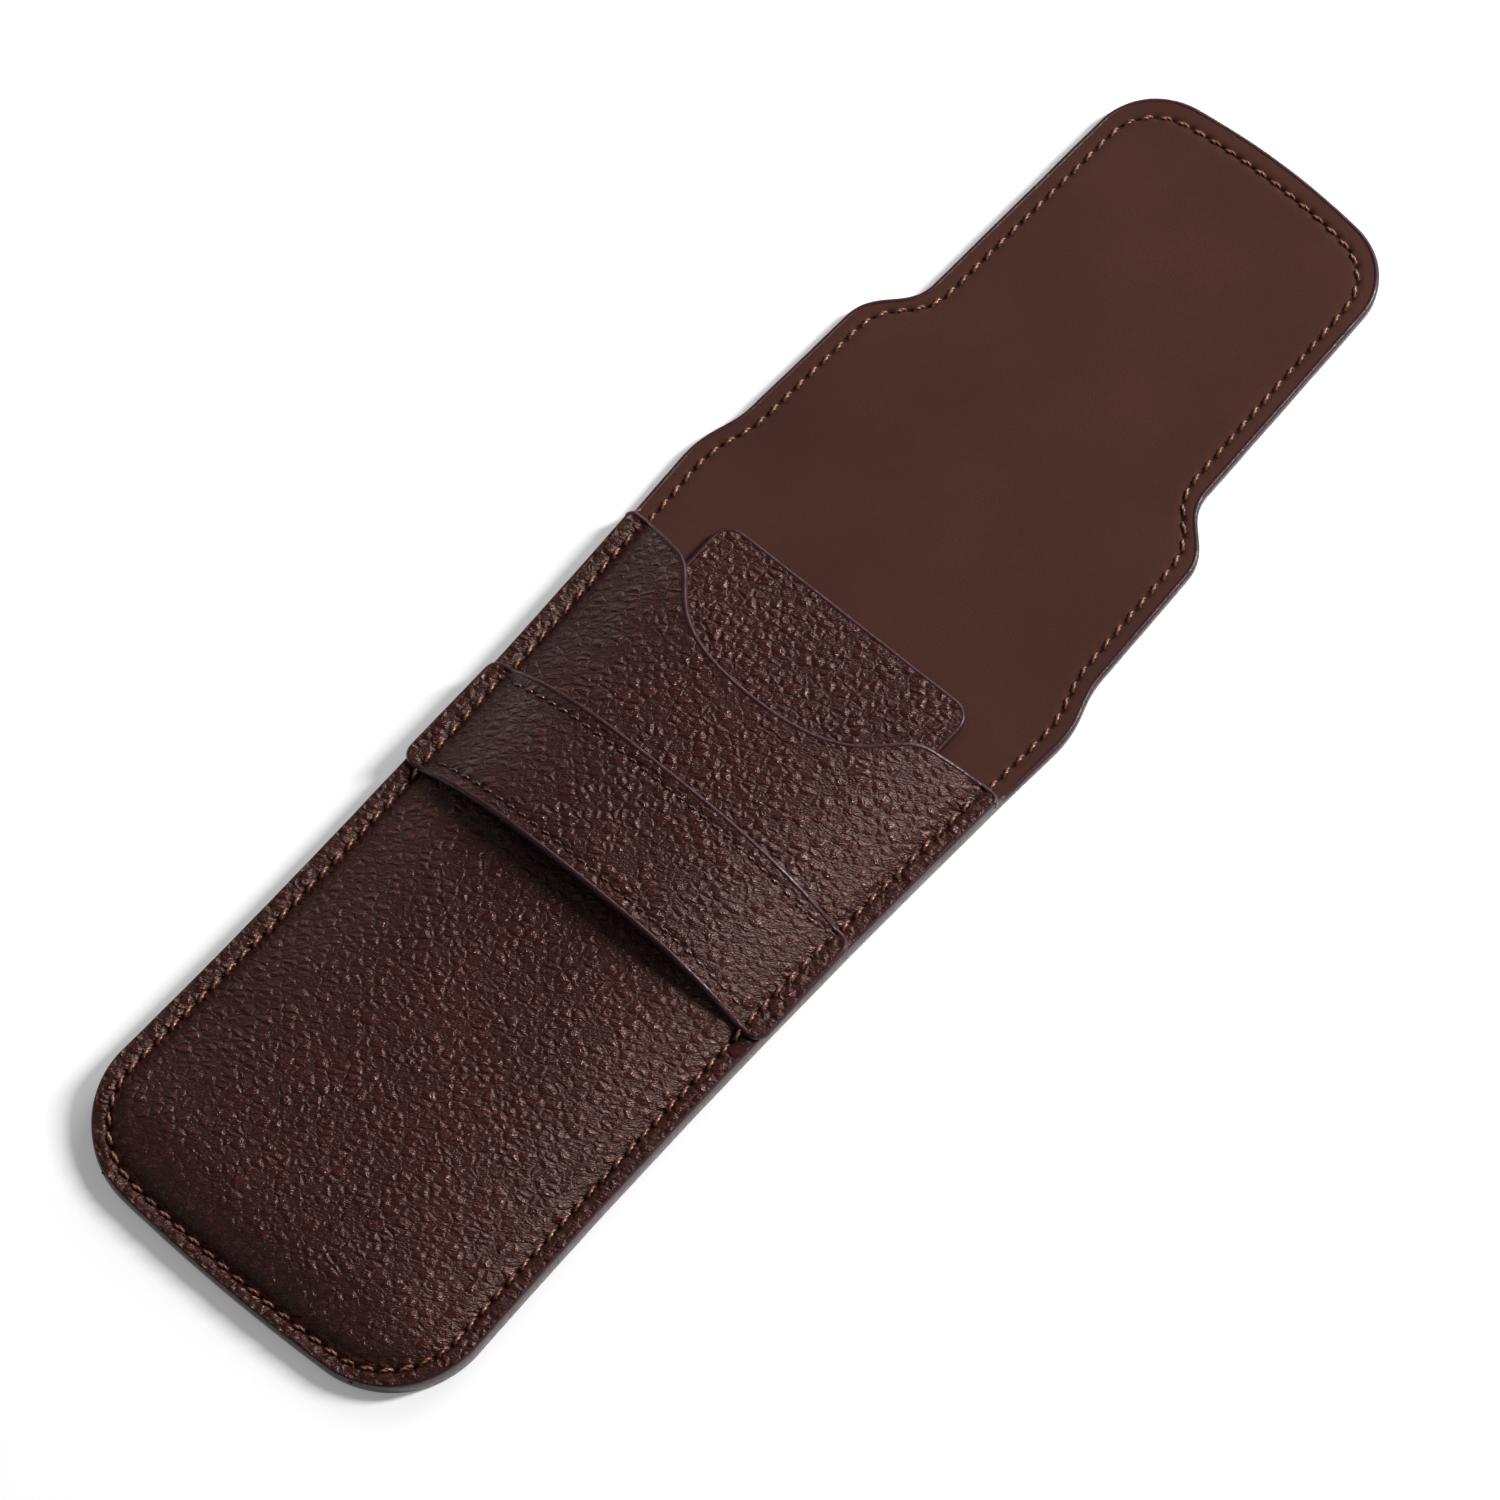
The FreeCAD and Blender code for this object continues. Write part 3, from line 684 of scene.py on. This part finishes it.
# %% Edge paint and thread
def edge_paint(name, dark, light):
    material, tree, shader = new_material(name, Specular_IOR_Level=0.35)
    where = plan_vector(tree)
    tone = use_group(tree, tone_group, Vector=where, Scale=30.0, Dark=dark, Light=light, Speckle=0.3)
    ripple = add(tree, "TexNoise", Vector=where, Scale=160.0, Detail=3.0).outputs["Fac"]
    rough = ramp(tree, ripple, 0.3, 0.7, 0.28, 0.40)
    normal = bump(tree, ripple, 0.00006)
    connect(tree, shader, Base_Color=tone.outputs["Color"], Roughness=rough, Normal=normal)
    return material


def sewing_thread(name, dark, light):
    material, tree, shader = new_material(name, Specular_IOR_Level=0.8)
    where = plan_vector(tree)
    tone = use_group(tree, tone_group, Vector=where, Scale=90.0, Dark=dark, Light=light, Speckle=0.8)
    rough = ramp(tree, tone.outputs["Fuzz"], 0.3, 0.7, 0.24, 0.42)
    normal = bump(tree, tone.outputs["Fuzz"], 0.00003)
    connect(tree, shader, Base_Color=tone.outputs["Color"], Roughness=rough, Normal=normal)
    return material


paint_finish = edge_paint("edge_paint", linear(52, 24, 29), linear(66, 33, 39))
thread_finish = sewing_thread("sewing_thread", linear(98, 56, 40), linear(146, 94, 68))

# %% [markdown]
# The stiffener boards between leather and lining are construction nodes that keep their own shape.
# They still get a finish, because they show if somebody takes the pouch apart.

# %% Boards
def fibre_board(name, dark, light, scale):
    material, tree, shader = new_material(name, Roughness=0.85)
    where = add(tree, "TexCoord").outputs["Object"]
    tone = use_group(tree, tone_group, Vector=where, Scale=scale, Dark=dark, Light=light, Speckle=1.0)
    normal = bump(tree, tone.outputs["Fuzz"], 0.00005)
    connect(tree, shader, Base_Color=tone.outputs["Color"], Normal=normal)
    return material


board_finish = fibre_board("stiffener_board", linear(120, 96, 72), linear(150, 124, 96), 300.0)
for node in ("back_board", "bridge_board", "tongue_board"):
    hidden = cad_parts[node]
    hidden.data.materials.clear()
    hidden.data.materials.append(board_finish)

# %% [markdown]
# The hide: leather below, lining above. The flap folds at two places and a piece can only bend across one
# joint, so leather and lining are each made in two lengths that meet in the middle of the bridge,
# the stretch between the folds, which stays flat.


def across_back_fold(piece):
    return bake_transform(piece)


def across_front_fold(piece):
    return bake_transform(piece)


def soft_waves(plan, size, scale, seed):
    """Very gentle unevenness of a hand-laid sheet."""
    flat = plan.reshape(-1, 2)
    values = [noise.noise(Vector((p[0] * scale, p[1] * scale, seed))) for p in flat]
    return np.array(values).reshape(plan.shape[:-1]) * size


def lining_sheet(name, y0, y1, cell=0.5):
    plan = outline_grid(y0, y1, cell)
    distance, run = seam_distance(plan)
    top = HIDE + soft_waves(plan, size=0.05, scale=0.06, seed=2.3) - pressed(distance, run, seam_pitch)
    low = np.full(top.shape, LEATHER)
    holes = hole_pattern(distance, run, seam_pitch)
    piece = closed_sheet(name, plan, top, low, lining_finish, {"hole": holes})
    return piece


def hide_sheet(name, y0, y1, cell=0.7):
    plan = outline_grid(y0, y1, cell)
    distance, run = seam_distance(plan)
    low = 0.02 + pressed(distance, run, seam_pitch, groove=0.42, hole=0.2)
    top = np.full(low.shape, LEATHER)
    holes = hole_pattern(distance, run, seam_pitch)
    piece = closed_sheet(name, plan, top, low, back_finish, {"hole": holes})
    return piece


body_hide = hide_sheet("body_hide", BOTTOM, BRIDGE_MIDDLE)
flap_hide = hide_sheet("flap_hide", BRIDGE_MIDDLE, TIP)
body_lining = lining_sheet("body_lining", BOTTOM, BRIDGE_MIDDLE)
flap_lining = lining_sheet("flap_lining", BRIDGE_MIDDLE, TIP)
for piece, slot, fold, nodes in (
        (body_lining, "lining_suede", across_back_fold, ["back_lining"]),
        (flap_lining, "lining_suede", across_front_fold, ["bridge_lining", "tongue_lining"]),
        (body_hide, "pebbled_leather", across_back_fold, ["back_leather"]),
        (flap_hide, "pebbled_leather", across_front_fold, ["bridge_leather", "tongue_leather"])):
    fold(piece)
    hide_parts(*nodes)
    print(piece.name, len(piece.data.vertices), "points")

# %% [markdown]
# The formed front. Wet leather was pressed over a block, so it rises from the seam on both sides and from the
# bottom, and gets deeper towards the mouth. The numbers that shape the construction model shape this surface
# too, only the seam is tighter here: the leather dips at the stitches and puffs up right beside them, and the
# layers are pared thinner along the bottom. The panel stands for the padding under it as well.

# %% Shape of the front
BULGE = 7.8
PUFF = 1.9
PUFF_RUN = 6.0
PADDING = 0.8
LINING = HIDE - LEATHER
VALLEY_INSET = 3.3
FLOOR = BOTTOM + BOTTOM_STITCH_INSET + 0.8
SKIVE = 1.3
CLEAR = 0.06
RIDGE = 0.30
RIDGE_INSET = 2.3
RIDGE_WIDTH = 1.3


def side_half(y):
    return np.where(y < WAIST, np.interp(y, [BOTTOM, WAIST], [BOTTOM_HALF, WAIST_HALF]),
                    np.interp(y, [WAIST, MOUTH], [WAIST_HALF, MOUTH_HALF]))


def pocket_half(y, inset):
    """Half width of the pocket, which follows the round bottom corners."""
    radius = BOTTOM_CORNER - inset
    across, along = end_corner(BOTTOM_HALF - inset, radius, BOTTOM_ARC - inset)
    below = np.clip(BOTTOM + inset + along - y, 0, radius)
    return np.where(below > 0, across + np.sqrt(radius ** 2 - below ** 2), side_half(y) - inset)


def puff_share(y):
    run = np.clip((y - FLOOR) / PUFF_RUN, 0, 1)
    return 1 - (1 - run) ** 2


def crown(y, height):
    puff = PUFF - BULGE + height
    share = np.clip((y - FLOOR) / (MOUTH - FLOOR), 0, 1)
    return puff * puff_share(y) + (height - puff) * share


def across_share(x, y, inset, power):
    return 1 - np.clip(np.abs(x) / pocket_half(y, inset), 0, 1) ** power


def skived(y):
    """How much thinner the layers are pared along the bottom seam."""
    return SKIVE * (1 - smooth_step(y, BOTTOM + 1.0, BOTTOM + 13.0))


def roof(x, y):
    """Underside of the front lining."""
    return HIDE + crown(y, BULGE - PADDING) * across_share(x, y, VALLEY_INSET, 3)


def front_top(x, y):
    pad = PADDING * puff_share(y) * across_share(x, y, VALLEY_INSET, 6)
    return roof(x, y) + LINING + pad + LEATHER - skived(y)


def front_under(x, y):
    """Underside of the front leather."""
    return np.maximum(front_top(x, y) - LEATHER, HIDE + CLEAR)


# %% [markdown]
# The mouth. The front stops short in a deep scoop, so that fingers can take hold of what is inside, with two
# sloping shoulders that end in a small round corner at each side. The mouth line is the upper border of the
# front's grid, so the rows of the mesh follow it.

# %% Mouth line
SHOULDER = MOUTH - 3.3
SCOOP_HALF = 25.0
SCOOP_DEPTH = 11.5
MOUTH_SIDE = MOUTH - 1.4
MOUTH_CORNER = 1.1


def mouth_corner(count=9):
    """The round corner at the right side, from the outline inwards."""
    a = np.radians(np.linspace(0, 84, count))
    x = MOUTH_HALF - MOUTH_CORNER + MOUTH_CORNER * np.cos(a)
    return np.stack([x, MOUTH_SIDE - MOUTH_CORNER + MOUTH_CORNER * np.sin(a)], 1)


def half_mouth():
    """Right half of the mouth line, from the side to the middle."""
    t = np.linspace(0, 1, 60)[:, None]
    p0 = np.array([SCOOP_HALF, SHOULDER])
    p1 = np.array([SCOOP_HALF - 8.0, SHOULDER - 1.4])
    p2 = np.array([20.2, SHOULDER - SCOOP_DEPTH])
    p3 = np.array([0.0, SHOULDER - SCOOP_DEPTH])
    scoop = p0 * (1 - t) ** 3 + 3 * p1 * (1 - t) ** 2 * t + 3 * p2 * (1 - t) * t ** 2 + p3 * t ** 3
    slope = [[31.6, MOUTH_SIDE + 0.05]]
    return np.concatenate([mouth_corner(), slope, scoop])


mouth_right = half_mouth()
mouth_line = whole(mouth_right[::-1])
print("mouth line from", mouth_line[0].round(1), "to", mouth_line[-1].round(1))


def front_grid(cell):
    first = corner_index(outline, BOTTOM)
    last = int(np.argmin(np.linalg.norm(outline - mouth_right[0], axis=1)))
    side = outline[first:last + 1]
    rows = int((side[-1, 1] - side[0, 1]) / cell) + 1
    columns = int(2 * side[:, 0].max() / cell) + 1
    right = resample(side, rows)
    low = resample(whole(outline[:first + 1]), columns)
    high = resample(mouth_line, columns)
    high[0] = mirror(right[-1])
    high[-1] = right[-1]
    return coons(low, high, mirror(right), right)


front_plan = front_grid(0.45)
front_distance, front_run = seam_distance(front_plan)
front_holes = hole_pattern(front_distance, front_run, seam_pitch)
below_mouth = 1 - smooth_step(front_plan[..., 1], MOUTH - 6, MOUTH - 2)
ridge = RIDGE * np.exp(-((front_distance + RIDGE_INSET) / RIDGE_WIDTH) ** 2) * below_mouth
front_height = over(front_top, front_plan) + soft_waves(front_plan, size=0.10, scale=0.09, seed=5.1) + ridge
front_height -= pressed(front_distance, front_run, seam_pitch, groove=0.34, hole=0.40)
front_height += gathered(front_distance, front_run) * below_mouth
front_lower = over(front_under, front_plan)
front_panel = closed_sheet("front_panel", front_plan, front_height, front_lower, front_finish,
                           {"hole": front_holes})
inner_low = np.clip(over(roof, front_plan), HIDE + 0.02, front_lower - 0.03)
front_inner = closed_sheet("front_inner_lining", front_plan, front_lower, inner_low, lining_finish,
                           {"hole": front_holes * 0})
for piece, slot, nodes in ((front_panel, "pebbled_leather", ["front_leather", "front_padding"]),
                           (front_inner, "lining_suede", ["front_lining"])):
    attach(piece, "pouch_body")
    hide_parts(*nodes)
print("front rises to", round(float(front_height.max()), 2), "mm")

# %% [markdown]
# The keeper: a strap of the same leather whose ends are pared thin and sewn into the side seams. It arches
# over the front and leaves room for the tongue of the flap. Two rows of fine stitches hold its lining.

# %% Keeper strap
ARCH_INSET = 3.6
KEEPER_GAP = HIDE + 0.1
KEEPER_LINING = 0.5
KEEPER = 1.5
KEEPER_HALF = keeper_high[0] - 0.6
KEEPER_PARED = 0.5
ROW_INSET = 2.0
ROW_THREAD = 0.34
ROW_HOLE = 0.62
ROW_SUNK = 0.20
KEEPER_PITCH = 2.2
FAR = 9.0


def keeper_under(x, y):
    share = 1 - np.clip(np.abs(x) / (side_half(y) - ARCH_INSET), 0, 1) ** 3
    return RIM + 0.02 + (crown(y, BULGE) + KEEPER_GAP) * share


def keeper_upper(x, y):
    """The top of the strap, whose leather is pared thinner at the ends."""
    inward = side_half(y) - np.abs(x)
    return keeper_under(x, y) + KEEPER - KEEPER_PARED * (1 - smooth_step(inward, 1.5, 4.5))


def keeper_border(radius=2.0, count=8):
    """Closed outline of the strap in plan."""
    bends = []
    x, low, high = KEEPER_HALF - radius, KEEPER_LOW + radius, KEEPER_HIGH - radius
    for cx, cy, start in ((x, low, -90), (x, high, 0), (-x, high, 90), (-x, low, 180)):
        a = np.radians(np.linspace(start, start + 90, count))
        bends.append(np.stack([cx + radius * np.cos(a), cy + radius * np.sin(a)], 1))
    return np.concatenate(bends)


def keeper_grid(cell=0.4):
    """Each corner of the border has 9 points, and the grid's four corners are the middle ones."""
    border = keeper_border(count=9)
    rows = int((KEEPER_HIGH - KEEPER_LOW) / cell) + 1
    columns = int(2 * KEEPER_HALF / cell) + 1
    low = resample(np.concatenate([border[31:], border[:5]]), columns)
    right = resample(border[4:14], rows)
    high = resample(border[13:23], columns)[::-1]
    left = resample(border[22:32], rows)[::-1]
    return coons(low, high, left, right)


def row_pattern(plan):
    """Distance from the nearer keeper row and run along it."""
    y = plan[..., 1]
    distance = np.minimum(np.abs(y - KEEPER_LOW - ROW_INSET), np.abs(y - KEEPER_HIGH + ROW_INSET))
    inside = np.abs(plan[..., 0]) < side_half(y) - STITCH_INSET - 1.0
    return np.where(inside, distance, FAR), plan[..., 0]


keeper_plan = keeper_grid()
under = over(keeper_under, keeper_plan)
sew_distance, sew_run = seam_distance(keeper_plan)
row_distance, row_run = row_pattern(keeper_plan)
keeper_top = over(keeper_upper, keeper_plan) + soft_waves(keeper_plan, size=0.08, scale=0.12, seed=8.4)
keeper_top -= pressed(sew_distance, sew_run, seam_pitch, groove=0.22, hole=0.4)
keeper_top -= pressed(row_distance, row_run, KEEPER_PITCH, groove=0.16, hole=0.30, size=ROW_HOLE)
keeper_top += gathered(sew_distance, sew_run, folds=0.16, swell=0.08)
keeper_holes = np.maximum(hole_pattern(sew_distance, sew_run, seam_pitch),
                          hole_pattern(row_distance, row_run, KEEPER_PITCH, ROW_HOLE))
keeper_strap = closed_sheet("keeper_strap", keeper_plan, keeper_top, under + KEEPER_LINING, front_finish,
                            {"hole": keeper_holes})
keeper_inner = closed_sheet("keeper_strap_lining", keeper_plan, under + KEEPER_LINING, under,
                            lining_finish, {"hole": keeper_holes * 0})
keeper_edge = resample(np.concatenate([keeper_border(), keeper_border()[:1]]), 420)[:-1]
keeper_base = over(keeper_under, keeper_edge)
keeper_paint = bead("keeper_painted_edge", keeper_edge, keeper_base,
                    over(keeper_upper, keeper_edge) - keeper_base, paint_finish, closed=True, seed=4.2)
for piece, slot, node in ((keeper_strap, "pebbled_leather", "keeper_leather"),
                          (keeper_inner, "lining_suede", "keeper_lining"),
                          (keeper_paint, "edge_paint", "keeper_edge_paint")):
    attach(piece, "pouch_body")
    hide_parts(node)

# %% Keeper rows
# The rows' thread is a darker copy of the sewing thread: painted shade for rows that lie sunk in their
# grooves.
row_thread_with_painted_shade = sewing_thread("keeper_row_thread_painted_shade", linear(64, 34, 26), linear(96, 56, 42))


def keeper_row(name, y, node):
    limit = side_half(np.array(y)) - STITCH_INSET - 1.4
    count = int(limit / KEEPER_PITCH)
    starts, ends = [], []
    for k in range(-count, count):
        xs = np.array([k, k + 1]) * KEEPER_PITCH
        zs = keeper_upper(xs, np.array([y, y])) - ROW_SUNK
        starts.append(np.array([xs[0], y, zs[0]]))
        ends.append(np.array([xs[1], y, zs[1]]))
    row = place_stitches(name, starts, ends, row_thread_with_painted_shade, thread=ROW_THREAD)
    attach(row, "pouch_body")
    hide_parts(node)
    return len(starts)


made = keeper_row("keeper_upper_stitches", KEEPER_HIGH - ROW_INSET, "keeper_upper_thread")
made += keeper_row("keeper_lower_stitches", KEEPER_LOW + ROW_INSET, "keeper_lower_thread")
print("keeper stitches", made)

# %% [markdown]
# The divider: one leaf of the same leather inside the pocket, which keeps what lies over and under it apart.
# It is sewn into the bottom seam and free everywhere else, so it bends at its root when it is lifted.
# Near the seam it is squeezed between the back and the front, so its height follows the room that is left.

# %% Divider leaf
LEAF_HALF = leaf_high[0]
LEAF_BASE = HIDE + 0.1
LEAF = 1.2
LEAF_LINING = 0.5
LEAF_CORNER = 3.0
LEAF_START = BOTTOM + 1.0


def leaf_border():
    """Right border of the leaf, from the bottom seam to the middle of its top edge."""
    a = np.radians(np.linspace(0, 90, 14))
    bend = np.stack([LEAF_HALF - LEAF_CORNER + LEAF_CORNER * np.cos(a),
                     LEAF_TOP - LEAF_CORNER + LEAF_CORNER * np.sin(a)], 1)
    return np.concatenate([[[LEAF_HALF, LEAF_START]], bend, [[0, LEAF_TOP]]])


def leaf_grid(cell=0.6):
    border = leaf_border()
    rows = int((LEAF_TOP - LEAF_START) / cell)
    columns = int(2 * LEAF_HALF / cell)
    bend_middle = 7
    right = resample(border[:bend_middle + 1], rows)
    top = resample(whole(border[bend_middle:][::-1]), columns)
    low = np.linspace([-LEAF_HALF, LEAF_START], [LEAF_HALF, LEAF_START], columns)
    return coons(low, top, mirror(right), right)


def leaf_upper(x, y):
    """The top of the leaf: flat where there is room, pressed thin near the bottom seam."""
    room = np.minimum(roof(x, y), front_under(x, y))
    return np.clip(room - 2 * CLEAR, HIDE + 2 * CLEAR, LEAF_BASE + LEAF)


leaf_plan = leaf_grid()
leaf_top = over(leaf_upper, leaf_plan)
leaf_top -= 0.05 * np.clip(soft_waves(leaf_plan, size=1.0, scale=0.1, seed=3.3), 0, 1)
leaf_low_face = np.full(leaf_top.shape, HIDE + CLEAR)
leaf_middle = leaf_low_face + (leaf_top - leaf_low_face) * LEAF_LINING / LEAF
leaf_skin = closed_sheet("divider_leaf", leaf_plan, leaf_top, leaf_middle, front_finish,
                         {"hole": leaf_top * 0})
leaf_back = closed_sheet("divider_leaf_lining", leaf_plan, leaf_middle, leaf_low_face, lining_finish,
                         {"hole": leaf_top * 0})
leaf_edge = resample(mirror(whole(leaf_border()[::-1])), 520)
leaf_base = np.full(len(leaf_edge), HIDE + CLEAR)
leaf_profile = [(out, share, rise * 0.6) for out, share, rise in EDGE_PROFILE]
leaf_paint = bead("divider_painted_edge", leaf_edge, leaf_base, over(leaf_upper, leaf_edge) - leaf_base,
                  paint_finish, width=0.8, seed=6.6, profile=leaf_profile)
for piece, slot, nodes in ((leaf_skin, "pebbled_leather", ["divider_leather", "divider_tail"]),
                           (leaf_back, "lining_suede", ["divider_lining"]),
                           (leaf_paint, "edge_paint", ["divider_edge_paint"])):
    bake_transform(piece)
    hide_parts(*nodes)

# %% [markdown]
# The painted edges of the hide and of the mouth. Round the body the bead covers the whole stack, back and
# front together; past the mouth it drops to the thickness of the flap alone.

# %% Painted edges
def stack_height(y):
    """Height of the edge at y: back and front together below the mouth, the back alone beyond it."""
    share = smooth_step(y, MOUTH_SIDE - MOUTH_CORNER, MOUTH_SIDE + 1.2)
    return RIM - skived(y) + (HIDE - RIM) * share


def edge_path(y0, y1):
    keep = outline[(outline[:, 1] >= y0) & (outline[:, 1] <= y1)]
    path = whole(keep) if y0 <= BOTTOM else mirror(whole(keep[::-1]))
    length = np.linalg.norm(np.diff(path, axis=0), axis=1).sum()
    return resample(path, int(length / 0.6))


body_edge = edge_path(BOTTOM, BRIDGE_MIDDLE)
flap_edge = edge_path(BRIDGE_MIDDLE, TIP)
body_paint = bead("body_painted_edge", body_edge, np.zeros(len(body_edge)), stack_height(body_edge[:, 1]),
                  paint_finish)
flap_paint = bead("flap_painted_edge", flap_edge, np.zeros(len(flap_edge)), np.full(len(flap_edge), HIDE),
                  paint_finish, seed=2.9)
mouth_path = resample(mouth_line, 300)[::-1]
mouth_base = over(roof, mouth_path)
mouth_paint = bead("mouth_painted_edge", mouth_path, mouth_base, over(front_top, mouth_path) - mouth_base,
                   paint_finish, seed=9.3)
for piece, fold, nodes in ((body_paint, across_back_fold, ["back_edge_paint", "front_edge_paint"]),
                           (flap_paint, across_front_fold, ["bridge_edge_paint", "tongue_edge_paint"])):
    fold(piece)
    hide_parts(*nodes)
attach(mouth_paint, "pouch_body")
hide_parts("mouth_edge_paint")

# %% [markdown]
# The outline seam, sewn through everything in one go. On top it lies on the front, climbs over the ends of
# the keeper and drops to the lining past the mouth; below it lies in its groove. Each stitch starts and ends
# at the height of the surface there, so the ones at a step are sloped, as real thread is.

# %% Outline seam
SUNK = 0.16
UNDER_DEPTH = 0.34


def surface_height(x, y):
    """The uppermost surface at a place on the seam."""
    if KEEPER_LOW < y < KEEPER_HIGH:
        return float(keeper_upper(np.array(x), np.array(y)))
    if y < MOUTH_SIDE:
        return float(front_top(np.array(x), np.array(y)))
    return HIDE


def seam_point(run, side):
    x = np.interp(run, seam_run, seam[:, 0]) * side
    y = np.interp(run, seam_run, seam[:, 1])
    return x, y


def seam_stitches(name, y0, y1, below, fold, nodes):
    starts, ends = [], []
    for side in (1, -1):
        for k in range(stitch_count):
            a = seam_point(k * seam_pitch, side)
            b = seam_point((k + 1) * seam_pitch, side)
            if not y0 <= (a[1] + b[1]) / 2 < y1:
                continue
            if side < 0:
                a, b = b, a
            heights = [UNDER_DEPTH, UNDER_DEPTH]
            if not below:
                heights = [surface_height(*a) - SUNK, surface_height(*b) - SUNK]
            starts.append(np.array([*a, heights[0]]))
            ends.append(np.array([*b, heights[1]]))
    piece = place_stitches(name, starts, ends, thread_finish, flip=below)
    fold(piece)
    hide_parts(*nodes)
    print(name, len(starts), "stitches")


seam_stitches("body_seam", BOTTOM, BRIDGE_MIDDLE, False, across_back_fold, ["back_seam_thread"])
seam_stitches("flap_seam", BRIDGE_MIDDLE, TIP, False, across_front_fold,
              ["bridge_seam_thread", "tongue_seam_thread"])
seam_stitches("body_seam_below", BOTTOM, BRIDGE_MIDDLE, True, across_back_fold, ["back_under_thread"])
seam_stitches("flap_seam_below", BRIDGE_MIDDLE, TIP, True, across_front_fold,
              ["bridge_under_thread", "tongue_under_thread"])

# %% [markdown]
# The table. It is white paper: bright where the light falls on it, with the pouch's soft shadow kept.
# Camera and gloss see it a little brighter than it is, so the page is white while the light on the pouch
# stays plain.

# %% Floor
PAPER = (0.95, 0.95, 0.95, 1.0)
WHITE = (1.0, 1.0, 1.0, 1.0)
GLOW = 0.21
TABLE_HALF = 3.0
TABLE_GAP = -0.0001


def paper_floor():
    material, tree, shader = new_material("white_paper", Base_Color=PAPER, Roughness=0.9)
    rays = add(tree, "LightPath")
    seen = maths(tree, "MAXIMUM", rays.outputs["Is Camera Ray"], rays.outputs["Is Glossy Ray"])
    glow = add(tree, "Emission", Color=WHITE, Strength=GLOW).outputs[0]
    both = add(tree, "AddShader", _0=shader.outputs[0], _1=glow).outputs[0]
    mix = add(tree, "MixShader", _0=seen, _1=shader.outputs[0], _2=both).outputs[0]
    connect(tree, tree.nodes["Material Output"], Surface=mix)
    return material


table_corners = [(x * TABLE_HALF, y * TABLE_HALF, 0) for x, y in ((-1, -1), (1, -1), (1, 1), (-1, 1))]
floor_mesh = bpy.data.meshes.new("table")
floor_mesh.from_pydata(table_corners, [], [(0, 1, 2, 3)])
floor_mesh.materials.append(paper_floor())
floor = add_object("table", floor_mesh)
floor.location.z = TABLE_GAP

# %% [markdown]
# The camera stands high beside the pouch's foot, far away with a long lens, as product pictures are taken.
# Its angle was worked out from the outline: with these numbers the flap's sides come out parallel.

# %% Camera
ELEVATION = math.radians(66.3)
HEADING = math.radians(49.11)
DISTANCE = 951.4
FOCAL_PIXELS = 6660.0
PICTURE = 1500.0
SENSOR = 36.0
AIM = np.array([2.0, -6.8, 0.0])

away = np.array([-math.cos(HEADING), math.sin(HEADING), 0.0])
place = AIM + (-away * math.cos(ELEVATION) + np.array([0, 0, 1]) * math.sin(ELEVATION)) * DISTANCE
camera_data = bpy.data.cameras.new("camera")
camera_data.lens = FOCAL_PIXELS / PICTURE * SENSOR
camera_data.sensor_width = SENSOR
camera_data.sensor_fit = "AUTO"
camera_data.clip_start = 0.01
camera = add_object("camera", camera_data)
camera.location = Vector(place) * MM
camera.rotation_euler = (Vector(AIM) - Vector(place)).to_track_quat("-Z", "Y").to_euler()
scene.camera = camera

# %% [markdown]
# The light, as the camera sees it: one large soft box low behind the flap's tip, a narrow strip at the right
# that rakes across the grain, a weak fill from the left, and an even, dim surround. Only to the camera is the
# surround white.

# %% Lamps
AMBIENT = 0.10
right_way = np.array([math.sin(HEADING), math.cos(HEADING), 0.0])


def soft_box(name, across, along, height, distance, width, depth, power):
    """A lamp placed by directions as the camera sees them, aimed at the pouch."""
    direction = right_way * across + away * along + np.array([0, 0, 1.0]) * height
    direction /= np.linalg.norm(direction)
    lamp = bpy.data.lights.new(name, "AREA")
    lamp.shape = "RECTANGLE"
    lamp.size = width
    lamp.size_y = depth
    lamp.energy = power
    holder = add_object(name, lamp)
    holder.location = Vector(direction * distance)
    holder.rotation_euler = Vector(-direction).to_track_quat("-Z", "Y").to_euler()


soft_box("key", across=0.60, along=0.95, height=0.50, distance=2.0, width=1.1, depth=1.1, power=17.0)
soft_box("strip", across=1.0, along=0.25, height=0.80, distance=1.2, width=0.15, depth=0.45, power=17.0)
soft_box("fill", across=-0.45, along=0.40, height=0.83, distance=2.0, width=1.5, depth=1.5, power=2.2)

world = bpy.data.worlds.new("surround")
world.use_nodes = True
scene.world = world
sky = world.node_tree
rays = add(sky, "LightPath")
seen = maths(sky, "MAXIMUM", rays.outputs["Is Camera Ray"], rays.outputs["Is Transmission Ray"])
strength = maths(sky, "ADD", maths(sky, "MULTIPLY", seen, 1.0 - AMBIENT), AMBIENT)
connect(sky, sky.nodes["Background"], Color=WHITE, Strength=strength)
scene.view_settings.view_transform = "Standard"
